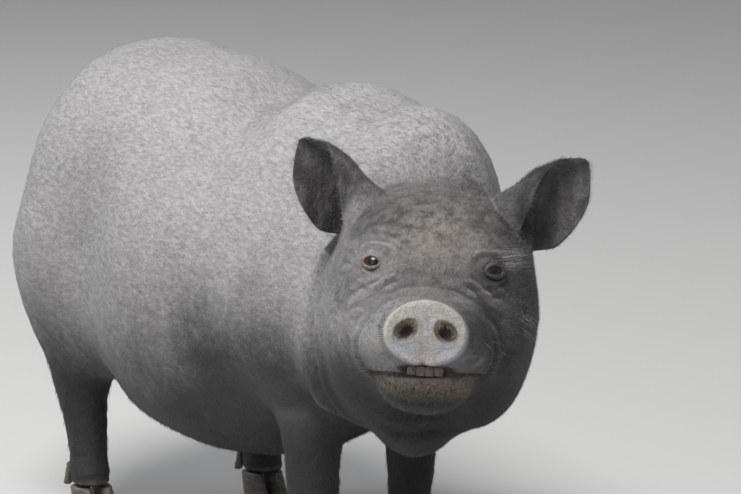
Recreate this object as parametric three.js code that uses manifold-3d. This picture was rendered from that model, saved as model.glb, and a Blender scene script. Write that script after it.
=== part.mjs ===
// A fat pot-bellied pig, standing, with its head turned to its right: life size, in millimetres.
// +Z is up, the pig faces -Y and its left side is +X. It stands on Z = 0.
//
// The flesh is a set of round masses (muscle and fat) that blend into each other. Trunk, neck and
// head are stretches of that one body: each is a stack of rings, found along rays that leave its
// axis, so that neighbours meet in a flat joint. Legs, ears, claws and tail are lofts of their own.

import * as THREE from 'three';
import { ParametricGeometry } from 'three/addons/geometries/ParametricGeometry.js';
import { mergeVertices } from 'three/addons/utils/BufferGeometryUtils.js';
import Module from 'manifold-3d';

const wasm = await Module();
wasm.setup();

// ---------------------------------------------------------------- driving dimensions

const GAP = 0.3;                    // between pieces that touch
const BLEND = 13;                   // how softly one mass runs into the next
const REACH = 300;                  // longest ray from an axis to the hide
const STEP = 6;                     // stride along a ray while looking for the hide

const BODY_SIDES = 34;              // corners in a ring of the trunk or neck
const HEAD_SIDES = 42;
const TRUNK_RINGS = 16;
const NECK_RINGS = 7;
const HEAD_RINGS = 24;

const HEAD_AT = [-60, -229, 301];   // centre of the head, on its long axis
const HEAD_TURN = -32;              // degrees to the pig's right
const HEAD_LIFT = -10;              // degrees, nose up
const HEAD_LEAN = 4;                // degrees, crown towards the pig's left
const SNOUT_LENGTH = 190;           // head centre to the face of the snout disc
const NAPE = 45;                    // head centre back to the joint with the neck

const CHEST = -40;                  // trunk meets neck here, along Y
const RUMP = 492;                   // where the rump starts to round off
const AXIS_HEIGHT = 300;            // height of the trunk's axis

const FORE_TRACK = 78;              // centre line to a fore foot
const HIND_TRACK = 96;
const FORE_AT = [-34, 42];          // Y of the right and the left fore foot
const HIND_AT = [420, 392];

const SOLE = 26;                    // height of the claws' tops, where the flesh begins
const CLAW_SPLIT = 12;              // foot centre to a claw's centre
const CLAW_WIDE = 10.5;             // half width and half length of a claw's sole
const CLAW_LONG = 20;
const TOE = 0.28;                   // share of that length added by the blunt toe

const EYE_AT = [52, -88.5, 57.5];   // on the head's left; the right eye mirrors it
const EYE_SIZE = 12.5;
const EAR_ROOT = [70, -12, 108];    // middle of an ear's root, on the head
const EAR_LENGTH = 101;
const EAR_THICK = 4.5;
const EAR_DEEP = 0.72;              // how deep its cup is for its width
const EAR_ROWS = [0, 0.15, 0.3, 0.45, 0.6, 0.75, 0.9, 1];   // shares of its length
const NOSTRIL = { at: [18, -190, 1], size: [7.6, 14, 10], slant: 50 };

const FACE_CUT = -112;              // the muzzle and the jaw end here, along the head's Y
const LIP = -41;                    // height of the closed lips, under the middle of the disc
const MOUTH = { at: [3, -172, LIP], size: [28, 21, 12] };
const EAR_EASED = 0.86;             // how much of the full curl the left ear keeps
const TOOTH = 8.2;                  // pitch of the lower incisors
const FAR = 1000;                   // beyond the pig on every side

const HIDE = { color: 0x6f6c6b, roughness: 0.85, metalness: 0 };
const DARK_HIDE = { color: 0x3f3c3b, roughness: 0.9, metalness: 0 };
const SNOUT_SKIN = { color: 0x8d867e, roughness: 0.6, metalness: 0 };
const HORN = { color: 0x4a443d, roughness: 0.55, metalness: 0 };
const IVORY = { color: 0xc9c0ac, roughness: 0.4, metalness: 0 };
const EYE = { color: 0x24150d, roughness: 0.1, metalness: 0 };

const rad = THREE.MathUtils.degToRad;
const vec = (p) => new THREE.Vector3(...p);

const headFrame = new THREE.Matrix4().compose(
  vec(HEAD_AT),
  new THREE.Quaternion().setFromEuler(
    new THREE.Euler(rad(HEAD_LIFT), rad(HEAD_LEAN), rad(HEAD_TURN), 'ZXY')),
  new THREE.Vector3(1, 1, 1));
const pigFrame = new THREE.Matrix4();

// ---------------------------------------------------------------- meshes and solids

// The mesh with shared corners merged, flat slivers dropped and its faces pointing out.
function closed(geometry) {
  const bare = geometry.clone();
  bare.deleteAttribute('normal');
  bare.deleteAttribute('uv');
  const merged = mergeVertices(bare, 0.001);
  const at = merged.getAttribute('position');
  const corners = [];
  let volume = 0;
  const [a, b, c] = [new THREE.Vector3(), new THREE.Vector3(), new THREE.Vector3()];
  for (let i = 0; i < merged.index.count; i += 3) {
    const [p, q, r] = [0, 1, 2].map((k) => merged.index.getX(i + k));
    if (p === q || q === r || r === p) continue;
    corners.push(p, q, r);
    a.fromBufferAttribute(at, p);
    b.fromBufferAttribute(at, q);
    c.fromBufferAttribute(at, r);
    volume += a.dot(b.cross(c));
  }
  if (volume < 0) corners.reverse();
  merged.setIndex(corners);
  return merged;
}

function solid(geometry) {
  const mesh = closed(geometry);
  return new wasm.Manifold(new wasm.Mesh({
    numProp: 3,
    vertProperties: new Float32Array(mesh.getAttribute('position').array),
    triVerts: new Uint32Array(mesh.index.array),
  }));
}

// The biggest single body of a cut solid, as a geometry.
function geometry(body) {
  const pieces = body.decompose().sort((a, b) => b.volume() - a.volume());
  const mesh = pieces[0].getMesh();
  const made = new THREE.BufferGeometry();
  made.setAttribute('position', new THREE.Float32BufferAttribute(mesh.vertProperties, 3));
  made.setIndex(Array.from(mesh.triVerts));
  made.computeVertexNormals();
  return made;
}

function piece(name, body, finish) {
  const mesh = new THREE.Mesh(geometry(body), new THREE.MeshStandardMaterial(finish));
  mesh.name = name;
  return mesh;
}

// A smooth value along a few stations: at is a list of places, values the value at each.
function along(at, values, x) {
  if (x <= at[0]) return values[0];
  const last = at.length - 1;
  if (x >= at[last]) return values[last];
  let i = 0;
  while (x > at[i + 1]) i += 1;
  const slope = (k) => {
    const [lo, hi] = [Math.max(k - 1, 0), Math.min(k + 1, last)];
    return (values[hi] - values[lo]) / (at[hi] - at[lo]);
  };
  const step = at[i + 1] - at[i];
  const t = (x - at[i]) / step;
  const bend = t * t * (3 - 2 * t);
  const rise = step * (t * (1 - t) ** 2 * slope(i) - t * t * (1 - t) * slope(i + 1));
  return values[i] + (values[i + 1] - values[i]) * bend + rise;
}

// ---------------------------------------------------------------- the flesh

const masses = [];

// A round mass of flesh: centre, half sizes and a turn in degrees, in the frame it belongs to.
function mass(frame, at, size, turn = [0, 0, 0]) {
  const place = new THREE.Matrix4().compose(
    vec(at),
    new THREE.Quaternion().setFromEuler(new THREE.Euler(...turn.map(rad))),
    new THREE.Vector3(1, 1, 1));
  masses.push({ inward: place.premultiply(frame).invert(), size: vec(size) });
}

function pair(frame, [x, y, z], size, [rx, ry, rz] = [0, 0, 0]) {
  for (const side of [-1, 1]) mass(frame, [side * x, y, z], size, [rx, side * ry, side * rz]);
}

const near = new THREE.Vector3();
const scaled = new THREE.Vector3();

// Depth of a point under the hide: below zero inside the flesh.
function depth(point) {
  let sum = 0;
  for (const { inward, size } of masses) {
    near.copy(point).applyMatrix4(inward);
    const once = scaled.copy(near).divide(size).length();
    const twice = scaled.divide(size).length();
    sum += Math.exp(-once * (once - 1) / (twice * BLEND));
  }
  return -BLEND * Math.log(sum);
}

const probe = new THREE.Vector3();

// Where a ray from inside last leaves the flesh, moved out by grow.
function hideAt(start, direction, target, grow) {
  const inside = (reach) => depth(probe.copy(direction).multiplyScalar(reach).add(start)) < 0;
  let out = REACH;
  while (out > 0 && !inside(out)) out -= STEP;
  let [low, high] = [out, out + STEP];
  for (let i = 0; i < 12; i += 1) {
    const middle = (low + high) / 2;
    if (inside(middle)) low = middle;
    else high = middle;
  }
  return target.copy(direction).multiplyScalar(low + grow).add(start);
}

// A closed stretch of the body. Each station is a frame and a tilt: its ring of rays lies in the
// frame's XZ plane, tilted towards +Y by that angle to round off an end.
function fleshThrough(stations, sides, back = pigFrame, grow = 0) {
  const toLocal = back.clone().invert();
  const last = stations.length + 1;
  const start = new THREE.Vector3();
  const ray = new THREE.Vector3();
  return new ParametricGeometry((u, v, target) => {
    const row = Math.round(v * last);
    const station = stations[THREE.MathUtils.clamp(row - 1, 0, last - 2)];
    start.setFromMatrixPosition(station.frame);
    const capped = (row === 0 || row === last) && Math.abs(station.tilt) < 1;
    if (capped) return target.copy(start).applyMatrix4(toLocal);
    const turn = 2 * Math.PI * (Math.round(u * sides) % sides) / sides;
    const tilt = rad((row === 0 || row === last) ? Math.sign(station.tilt) * 90 : station.tilt);
    const flat = Math.cos(tilt);
    const spin = Math.abs(flat) < 1e-6 ? 0 : turn;
    ray.set(flat * Math.sin(spin), Math.sin(tilt), flat * Math.cos(spin));
    ray.transformDirection(station.frame);
    return hideAt(start, ray, target, grow).applyMatrix4(toLocal);
  }, sides, last);
}

const frameAt = (frame, y, z = 0) => new THREE.Matrix4().makeTranslation(0, y, z).premultiply(frame);

// Trunk: withers and chest, shoulders, barrel, hanging belly, loin, rump and hams.
mass(pigFrame, [0, 15, 355], [120, 130, 150]);
mass(pigFrame, [0, -25, 310], [124, 130, 148]);
pair(pigFrame, [78, 5, 300], [76, 92, 108]);
mass(pigFrame, [0, 180, 290], [174, 205, 173]);
mass(pigFrame, [2, -150, 410], [44, 60, 82]);
mass(pigFrame, [0, 205, 222], [166, 190, 120]);
mass(pigFrame, [0, 290, 357], [144, 165, 142]);
mass(pigFrame, [0, 412, 355], [148, 145, 149]);
pair(pigFrame, [90, 405, 270], [76, 112, 128]);

// Neck: crest behind the ears, throat, and the folds that the turned head pushes up.
mass(headFrame, [-26, 106, 117], [73, 84, 97]);
mass(headFrame, [-8, 78, 2], [106, 85, 114]);
mass(headFrame, [-80, 56, -10], [46, 42, 84]);
mass(headFrame, [-8, 0, -92], [32, 46, 28]);

// Head: cranium, forehead, bridge, muzzle, disc, lips, cheeks, jowls, chin and brows.
mass(headFrame, [0, 0, 62], [78, 84, 68]);
mass(headFrame, [0, -50, 56], [60, 58, 50]);
mass(headFrame, [0, -132, 2], [30, 58, 22]);
mass(headFrame, [0, -184, 0], [27, 16, 20]);
pair(headFrame, [30, -138, -12], [23, 34, 20]);
pair(headFrame, [46, -66, 0], [42, 52, 46]);
pair(headFrame, [55, -12, 22], [39, 50, 50]);
pair(headFrame, [47, -16, -30], [41, 62, 56]);
mass(headFrame, [0, -116, -54], [36, 40, 20]);
pair(headFrame, [44, -76, 76], [16, 18, 10], [0, 20, 0]);
pair(headFrame, [53, -22, 93], [27, 27, 24]);

function spaced(from, to, count) {
  return Array.from({ length: count }, (_, i) => from + (to - from) * i / (count - 1));
}

const trunkStations = (front) => [
  ...spaced(front, RUMP, TRUNK_RINGS).map((y) => ({ frame: frameAt(pigFrame, y, AXIS_HEIGHT), tilt: 0 })),
  ...spaced(15, 75, 5).map((tilt) => ({ frame: frameAt(pigFrame, RUMP, AXIS_HEIGHT), tilt })),
];
const headStations = spaced(NAPE, -SNOUT_LENGTH, HEAD_RINGS)
  .map((y) => ({ frame: frameAt(headFrame, y), tilt: 0 }));

// The neck's rings swing from the trunk's frame round to the head's.
function neckStations() {
  const ends = [frameAt(pigFrame, CHEST, AXIS_HEIGHT), headStations[0].frame];
  const [chest, nape] = ends.map((frame) => {
    const [at, turn, scale] = [new THREE.Vector3(), new THREE.Quaternion(), new THREE.Vector3()];
    frame.decompose(at, turn, scale);
    return { at, turn, ahead: new THREE.Vector3(0, -1, 0).applyQuaternion(turn) };
  });
  const run = chest.at.distanceTo(nape.at);
  const spine = new THREE.CubicBezierCurve3(
    chest.at.clone().addScaledVector(chest.ahead, GAP),
    chest.at.clone().addScaledVector(chest.ahead, run * 0.36),
    nape.at.clone().addScaledVector(nape.ahead, -run * 0.36),
    nape.at.clone().addScaledVector(nape.ahead, -GAP));
  return spaced(0, 1, NECK_RINGS).map((t) => {
    const turn = chest.turn.clone().slerp(nape.turn, t);
    const frame = new THREE.Matrix4().compose(spine.getPoint(t), turn, new THREE.Vector3(1, 1, 1));
    return { frame, tilt: 0 };
  });
}

// ---------------------------------------------------------------- lofts

// A closed loft from rings at even heights. ring(t) gives its centre, half width and half depth,
// and the direction that it is stacked along is the frame's Z.
function column(ring, sides, rows) {
  return new ParametricGeometry((u, v, target) => {
    const row = Math.round(v * (rows + 2));
    const t = THREE.MathUtils.clamp((row - 1) / rows, 0, 1);
    const { at, wide, deep, point = 0 } = ring(t);
    const capped = row === 0 || row === rows + 2;
    const turn = 2 * Math.PI * (Math.round(u * sides) % sides) / sides;
    const reach = capped ? 0 : 1;
    const x = wide * Math.sin(turn);
    const y = deep * -Math.cos(turn) * (1 + point * Math.max(0, Math.cos(turn)) ** 3);
    return target.set(at[0] + reach * x, at[1] + reach * y, at[2]);
  }, sides, rows + 2);
}

// A closed tube along a curve, its radius given along it, pinched shut at both ends.
function tube(curve, radius, sides, rows) {
  const up = new THREE.Vector3();
  const across = new THREE.Vector3();
  return new ParametricGeometry((u, v, target) => {
    const row = Math.round(v * rows);
    const t = row / rows;
    const turn = 2 * Math.PI * (Math.round(u * sides) % sides) / sides;
    const ahead = curve.getTangentAt(t);
    across.set(1, 0, 0);
    up.crossVectors(ahead, across).normalize();
    const size = (row === 0 || row === rows) ? 0 : radius(t);
    return target.copy(curve.getPointAt(t))
      .addScaledVector(across, size * Math.cos(turn))
      .addScaledVector(up, size * Math.sin(turn));
  }, sides, rows);
}

function ball(at, size, sides = 12, rows = 6) {
  const round = new THREE.SphereGeometry(1, sides, rows);
  return round.scale(...size).translate(...at);
}

// ---------------------------------------------------------------- legs, claws and tail

// Each leg's heights, with its half width, half depth and forward set at each.
const FORE_LEG = {
  knee: 104,
  height: [SOLE + GAP, 42, 66, 98, 128, 160, 200, 245, 290],
  wide: [23, 22, 20, 24, 25, 29, 40, 49, 46],
  deep: [24, 24, 21, 25, 28, 34, 51, 62, 60],
  ahead: [4, 2, -2, 1, 2, 0, -6, -10, -10],
};
const HIND_LEG = {
  knee: 118,
  height: [SOLE + GAP, 42, 66, 98, 130, 156, 196, 245, 310, 380],
  wide: [22, 21, 19, 22, 27, 36, 59, 78, 80, 36],
  deep: [24, 24, 21, 25, 34, 46, 72, 99, 104, 56],
  ahead: [4, 2, -3, -8, -15, -14, -2, 8, 14, 14],
};

function legRing({ height, wide, deep, ahead }, foot, grow) {
  return (t) => {
    const z = height[0] + (height.at(-1) - height[0]) * t;
    const [w, d, a] = [wide, deep, ahead].map((list) => along(height, list, z));
    return { at: [foot[0], foot[1] - a, z], wide: w + grow, deep: d + grow };
  };
}

const leg = (shape, foot, grow = 0) => solid(column(legRing(shape, foot, grow), 18, 11));

// A claw: a wedge with a flat sole, its wall sloping forward to a blunt toe.
function claw([x, y], side) {
  return solid(column((t) => ({
    at: [x + side * CLAW_SPLIT, y - 12 + 9 * t, SOLE * t],
    wide: CLAW_WIDE - 1.2 * t,
    deep: CLAW_LONG - 4 * t,
    point: TOE,
  }), 12, 2));
}

// A dewclaw, hanging behind the pastern clear of the floor.
function dewclaw([x, y], side) {
  return solid(column((t) => ({
    at: [x + side * (15 - 2 * t), y + 23 - 13 * t, 24 + 26 * t],
    wide: 4.5 + 3.5 * t,
    deep: 4.5 + 4.5 * t,
  }), 7, 1));
}

const TAIL_ROOT = [0, 505, 425];
const tailCurve = new THREE.CatmullRomCurve3([
  vec(TAIL_ROOT), vec([2, 548, 410]), vec([8, 566, 370]), vec([16, 568, 320]), vec([20, 572, 262])]);
const tailRadius = (t) => along([0, 0.2, 0.6, 0.8, 0.93, 1], [17, 13, 8, 10, 8, 2], t);

// ---------------------------------------------------------------- ears, eyes and mouth

// An ear: a sheet rolled into a cup at its root that opens forward into a broad, pointed leaf.
function ear(side) {
  const root = vec([side * EAR_ROOT[0], EAR_ROOT[1], EAR_ROOT[2]]);
  const out = vec([side * 0.89, 0.12, 0.42]).normalize();
  const open = vec([side * 0.5, -0.86, -0.05]).normalize();
  const across = new THREE.Vector3().crossVectors(out, open).normalize().multiplyScalar(side);
  open.crossVectors(across, out).multiplyScalar(side).normalize();
  const [sides, rows] = [20, 9];
  const eased = side > 0 ? EAR_EASED : 1;
  const radial = new THREE.Vector3();
  return new ParametricGeometry((u, v, target) => {
    const row = Math.round(v * rows);
    const t = row / rows;
    const step = Math.round(u * sides) % sides;
    const half = sides / 2;
    const rim = step === 0 || step === half;
    const outer = step < half;
    const edge = outer ? -1 + 2 * step / half : 1 - 2 * (step - half) / half;
    const share = edge < 0 ? eased : 1;
    const curl = share * rad(along(EAR_ROWS, edge < 0
      ? [165, 165, 155, 140, 128, 105, 85, 50] : [80, 80, 70, 62, 57, 55, 50, 45], t));
    const reach = share * along(EAR_ROWS, edge < 0
      ? [98, 95, 76, 61, 45, 29, 13, 5] : [60, 62, 63, 63, 57, 48, 28, 6], t);
    const twist = (1.35 * eased - 0.35) * rad(along(EAR_ROWS, [60, 50, 38, 20, 8, 0, 0, 0], t));
    const round = reach / curl;
    const turn = edge * curl;
    const closedEnd = row === 0 || row === rows;
    const thick = (rim || closedEnd) ? 0 : (outer ? 1 : -1) * EAR_THICK / 2;
    radial.copy(across).multiplyScalar(Math.sin(turn - twist))
      .addScaledVector(open, -EAR_DEEP * Math.cos(turn - twist));
    return target.copy(root)
      .addScaledVector(out, EAR_LENGTH * t - 17)
      .addScaledVector(across, -20 - 6 * t * t + round * Math.sin(twist))
      .addScaledVector(open, EAR_DEEP * round * Math.cos(twist))
      .addScaledVector(radial, round + thick);
  }, sides, rows);
}

// A block between two corners.
function block(low, high) {
  const size = high.map((edge, i) => edge - low[i]);
  const middle = high.map((edge, i) => (edge + low[i]) / 2);
  return solid(new THREE.BoxGeometry(...size).translate(...middle));
}

// The lower incisors: blunt, a little fanned, on one strip of gum behind the lower lip.
function teeth() {
  const floor = LIP + GAP;
  let row = block([-13, -172, floor], [17, -165, floor + 2.5]);
  for (const i of spaced(-1.5, 1.5, 4)) {
    const [x, y] = [1.4 + i * TOOTH, -174 + 0.9 * i * i];
    const crown = floor + 8.5 - 0.3 * i * i;
    row = row.add(block([x - TOOTH * 0.46, y, floor], [x + TOOTH * 0.46, y + 4, crown]));
  }
  return row;
}

// ---------------------------------------------------------------- the whole pig

const trunk = solid(fleshThrough(trunkStations(CHEST), BODY_SIDES));
const neck = solid(fleshThrough(neckStations(), BODY_SIDES));
const bodyPocket = solid(fleshThrough(trunkStations(CHEST - 2 * GAP), BODY_SIDES, pigFrame, GAP))
  .add(solid(fleshThrough(neckStations(), BODY_SIDES, pigFrame, GAP)));
const skull = solid(fleshThrough(headStations, HEAD_SIDES, headFrame));
const skullPocket = solid(fleshThrough(headStations, HEAD_SIDES, headFrame, GAP));

const mirrored = ([x, y, z], side) => [side * x, y, z];
const eyeball = (side, size) => solid(ball(mirrored(EYE_AT, side), [size, size, size]));

// The face's hollows: two eye sockets, two nostrils that slant, and the parted lips.
let face = skull.subtract(solid(ball(MOUTH.at, MOUTH.size)));
for (const side of [-1, 1]) {
  const nostril = ball([0, 0, 0], NOSTRIL.size, 10).rotateY(-side * rad(NOSTRIL.slant));
  nostril.translate(...mirrored(NOSTRIL.at, side));
  face = face.subtract(eyeball(side, EYE_SIZE + GAP)).subtract(solid(nostril));
}

const head = face.intersect(block([-FAR, FACE_CUT + GAP, -FAR], [FAR, FAR, FAR]));
const snout = face.intersect(block([-FAR, -FAR, LIP + GAP], [FAR, FACE_CUT, FAR]));
const jaw = skull.intersect(block([-FAR, -FAR, -FAR], [FAR, FACE_CUT, LIP]));

const pig = new THREE.Group();
const headGroup = new THREE.Group();
headGroup.applyMatrix4(headFrame);
pig.add(headGroup);
pig.add(piece('trunk', trunk, HIDE));
pig.add(piece('neck', neck, HIDE));
headGroup.add(piece('head', head, HIDE));
headGroup.add(piece('snout', snout, SNOUT_SKIN));
headGroup.add(piece('lower_jaw', jaw, HIDE));
headGroup.add(piece('teeth', teeth(), IVORY));

function addLeg(label, shape, foot, side, name) {
  const whole = leg(shape, foot).subtract(bodyPocket);
  const pocket = leg(shape, foot, GAP);
  const high = block([-FAR, -FAR, shape.knee + GAP], [FAR, FAR, FAR]);
  const low = block([-FAR, -FAR, 0], [FAR, FAR, shape.knee]);
  pig.add(piece(`${label}leg_${name}`, whole.intersect(high), HIDE));
  pig.add(piece(`${label}foot_${name}`, whole.intersect(low), HIDE));
  for (const [which, half] of [['outer', side], ['inner', -side]]) {
    pig.add(piece(`claw_${label}_${name}_${which}`, claw(foot, half), HORN));
    const spur = dewclaw(foot, half).subtract(pocket);
    pig.add(piece(`dewclaw_${label}_${name}_${which}`, spur, HORN));
  }
}

for (const side of [-1, 1]) {
  const name = side < 0 ? 'right' : 'left';
  const which = side < 0 ? 0 : 1;
  addLeg('fore', FORE_LEG, [side * FORE_TRACK, FORE_AT[which]], side, name);
  addLeg('hind', HIND_LEG, [side * HIND_TRACK, HIND_AT[which]], side, name);
  headGroup.add(piece(`ear_${name}`, solid(ear(side)).subtract(skullPocket), DARK_HIDE));
  headGroup.add(piece(`eye_${name}`, eyeball(side, EYE_SIZE), EYE));
}
pig.add(piece('tail', solid(tube(tailCurve, tailRadius, 8, 13)).subtract(bodyPocket), HIDE));

// The origin is on the floor, under the middle of the pig's box.
const box = new THREE.Box3().setFromObject(pig, true);
const middle = box.getCenter(new THREE.Vector3());
pig.position.set(-middle.x, -middle.y, 0);

export default pig;
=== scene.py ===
# %% [markdown]
# # A pot-bellied pig, standing with its head turned
#
# This lesson dresses a life-size pig. The frame gives its pieces as plain faceted solids: trunk,
# neck, head, snout, jaw, ears, legs, claws, eyes, teeth and tail. Over them come one seamless
# skin, real eyes with lids, horn claws, worn teeth and a sparse coat of bristles. Lengths are in
# metres, +Z is up, the pig looks along -Y and its left side is +X.

# %% Load the frame
import math
from contextlib import contextmanager
import bpy
import numpy as np
from mathutils import Matrix, Vector
from mathutils.bvhtree import BVHTree


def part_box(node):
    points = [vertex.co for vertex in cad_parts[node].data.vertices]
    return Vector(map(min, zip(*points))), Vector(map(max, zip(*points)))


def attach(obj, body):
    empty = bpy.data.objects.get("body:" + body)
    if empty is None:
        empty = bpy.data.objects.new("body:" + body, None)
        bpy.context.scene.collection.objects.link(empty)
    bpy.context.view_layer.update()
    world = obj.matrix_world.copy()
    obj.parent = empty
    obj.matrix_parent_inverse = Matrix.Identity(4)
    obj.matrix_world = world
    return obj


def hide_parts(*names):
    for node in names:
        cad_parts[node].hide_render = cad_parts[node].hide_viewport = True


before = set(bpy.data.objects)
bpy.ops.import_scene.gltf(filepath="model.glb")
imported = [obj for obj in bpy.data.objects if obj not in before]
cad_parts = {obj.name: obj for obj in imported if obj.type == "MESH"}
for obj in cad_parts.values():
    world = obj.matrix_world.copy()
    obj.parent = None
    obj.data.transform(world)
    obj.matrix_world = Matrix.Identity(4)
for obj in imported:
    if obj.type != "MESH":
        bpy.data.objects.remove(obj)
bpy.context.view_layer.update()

MM = 0.001
scene = bpy.context.scene

# %% [markdown]
# ## Stage, camera and light
#
# A museum would stand the model on a plain pale floor under soft lamps. One broad lamp high above
# the pig's right shoulder gives the hide its form, a weak one in front keeps the face readable, and
# a third from behind draws the outline of the back. The camera has a long lens, because an animal
# this close would look big-nosed through a short one.

# %% Camera
CAMERA_TURN = math.radians(-30)
CAMERA_RISE = math.radians(10)
CAMERA_REACH = 4.0
LENS_MM = 215.1
AIM = Vector((-0.1641, -0.3943, 0.4007))


def looking(obj, place, target):
    obj.location = place
    obj.rotation_euler = (Vector(target) - Vector(place)).to_track_quat("-Z", "Y").to_euler()


toward_camera = Vector((
    math.sin(CAMERA_TURN) * math.cos(CAMERA_RISE),
    -math.cos(CAMERA_TURN) * math.cos(CAMERA_RISE),
    math.sin(CAMERA_RISE)))
bpy.ops.object.camera_add()
camera = bpy.context.object
camera.name = "camera"
camera.data.sensor_width = 36.0
camera.data.lens = LENS_MM
looking(camera, AIM + CAMERA_REACH * toward_camera, AIM)
scene.camera = camera
print("camera at", [round(c, 3) for c in camera.location])

# %% Floor
bpy.ops.mesh.primitive_plane_add(size=80.0)
floor = bpy.context.object
floor.name = "floor"

# %% Lamps and the sky
scene.view_settings.view_transform = "Standard"


def lamp(name, place, target, size, power, colour=(1, 1, 1)):
    bpy.ops.object.light_add(type="AREA")
    light = bpy.context.object
    light.name = name
    light.data.shape = "DISK"
    light.data.size = size
    light.data.energy = power
    light.data.color = colour
    looking(light, place, target)


middle = Vector((0, -0.1, 0.3))
lamp("lamp_key", (-1.9, -1.1, 4.2), middle, 2.4, 240, (1.0, 0.975, 0.94))
lamp("lamp_fill", (-4.2, -2.9, 1.7), middle, 2.4, 24, (0.93, 0.96, 1.0))
lamp("lamp_rim", (-1.6, 3.2, 3.4), middle, 2.0, 90, (0.94, 0.97, 1.0))
world = bpy.data.worlds.new("studio")
world.use_nodes = True
sky = world.node_tree.nodes["Background"].inputs
sky["Color"].default_value = (0.86, 0.88, 0.90, 1)
sky["Strength"].default_value = 0.30
scene.world = world

# %% [markdown]
# ## Small tools
#
# An operator works on whatever is selected, so each piece is picked alone first. Shapes are read
# from a mesh as one array of points, moved all at once and written back, which is how a fold can
# be pressed into a hundred thousand points without a loop.

# %% Picking, copying and modifiers
def alone(obj):
    bpy.ops.object.select_all(action="DESELECT")
    obj.select_set(True)
    bpy.context.view_layer.objects.active = obj
    return obj


@contextmanager
def editing(obj):
    """Edit mode, with one whole mesh selected."""
    alone(obj)
    bpy.ops.object.mode_set(mode="EDIT")
    bpy.ops.mesh.select_all(action="SELECT")
    yield
    bpy.ops.object.mode_set(mode="OBJECT")


def copied(name, nodes, fatten=0.0):
    """One object from copies of CAD solids, each welded and grown a little to close thin cuts."""
    parts = []
    for node in nodes:
        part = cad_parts[node].copy()
        part.data = part.data.copy()
        part.parent = None
        for key_name in list(part.keys()):
            del part[key_name]
        part.data.materials.clear()
        scene.collection.objects.link(part)
        with editing(part):
            bpy.ops.mesh.remove_doubles(threshold=0.00001)
            bpy.ops.mesh.normals_make_consistent(inside=False)
            if fatten:
                bpy.ops.transform.shrink_fatten(value=fatten)
        parts.append(part)
    return joined(name, parts)


def joined(name, parts):
    bpy.ops.object.select_all(action="DESELECT")
    for part in parts:
        part.select_set(True)
    bpy.context.view_layer.objects.active = parts[0]
    bpy.ops.object.join()
    whole = bpy.context.object
    whole.name = name
    whole.data.name = name
    return whole


def applied(obj, kind, **settings):
    alone(obj)
    modifier = obj.modifiers.new(kind.title(), kind)
    for setting, value in settings.items():
        setattr(modifier, setting, value)
    bpy.ops.object.modifier_apply(modifier=modifier.name)
    return obj


# %% Reading and writing points
def points_of(obj):
    flat = np.empty(len(obj.data.vertices) * 3, np.float32)
    obj.data.vertices.foreach_get("co", flat)
    return flat.reshape(-1, 3).astype(float)


def normals_of(obj):
    flat = np.empty(len(obj.data.vertices) * 3, np.float32)
    obj.data.vertex_normals.foreach_get("vector", flat)
    return flat.reshape(-1, 3).astype(float)


def put_points(obj, points):
    obj.data.vertices.foreach_set("co", np.ascontiguousarray(points, np.float32).ravel())
    obj.data.update()


def weighted(obj, name, weights):
    """A vertex group from an array of weights, in ten steps."""
    group = obj.vertex_groups.new(name=name)
    steps = np.clip(np.round(weights * 10), 0, 10).astype(int)
    for step in range(1, 11):
        picked = np.flatnonzero(steps == step).tolist()
        if picked:
            group.add(picked, step / 10, "REPLACE")
    return group


def painted(obj, name, values):
    """A value at each point, that materials can read."""
    layer = obj.data.attributes.new(name, "FLOAT", "POINT")
    layer.data.foreach_set("value", np.clip(values, 0, 1).astype(np.float32))


def bell(distance, width):
    return np.exp(-(distance / width) ** 2)


def ramp(value, low, high):
    """0 below low, 1 above high, smooth between."""
    t = np.clip((value - low) / (high - low), 0, 1)
    return t * t * (3 - 2 * t)


def faces_of(obj):
    return sum(len(p.vertices) - 2 for p in obj.data.polygons)


# %% The head's own frame
HEAD_TURN = (
    Matrix.Rotation(math.radians(-32), 3, "Z")
    @ Matrix.Rotation(math.radians(-10), 3, "X")
    @ Matrix.Rotation(math.radians(4), 3, "Y"))
EYE_AT = Vector((52, -88.5, 57.5)) * MM
SIGHT = (0.40, -0.905, 0.13)
MOUTH_SLOPE = 0.055
NOSTRIL_X, NOSTRIL_Z = 18.0, 1.0


def centre(node):
    low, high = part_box(node)
    return (Vector(low) + Vector(high)) / 2


between_eyes = (centre("eye_left") + centre("eye_right")) / 2
HEAD_AT = between_eyes - HEAD_TURN @ Vector((0, EYE_AT.y, EYE_AT.z))
TURN = np.array(HEAD_TURN)


def in_head(points):
    """Points in the head's frame, in millimetres: x to its left, y back, z up."""
    return (np.asarray(points) - np.array(HEAD_AT)) @ TURN / MM


def from_head(points):
    return np.asarray(points, float) * MM @ TURN.T + np.array(HEAD_AT)


def eye_place(side):
    """The middle of an eye in the head's frame; side is 1 on the left and -1 on the right."""
    return np.array([side * EYE_AT.x, EYE_AT.y, EYE_AT.z]) / MM


def sight_of(side):
    """Where an eye looks, in the head's frame."""
    ahead = np.array(SIGHT) * [side, 1, 1]
    return ahead / np.linalg.norm(ahead)


print("head at", [round(c, 4) for c in HEAD_AT], "eyes", in_head([centre("eye_left")]).round(1))

# %% [markdown]
# ## The hide, part one: one skin over all the flesh
#
# The flesh solids meet in thin cuts and have flat facets. Real hide runs over the whole animal
# without a seam. A voxel remesh fuses overlapping solids into one even mesh, so each solid is
# first grown a little to close the cuts. The bulk of the body is remeshed coarsely and smoothed
# hard, which melts its facets. The head gets plugs behind the eyes and a lower lip, which bulges
# under the teeth, and is remeshed finely and smoothed less, so that nostrils and lips survive.
# Then both are fused once more, and the neck is smoothed where they meet. The ears come later.

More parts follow.
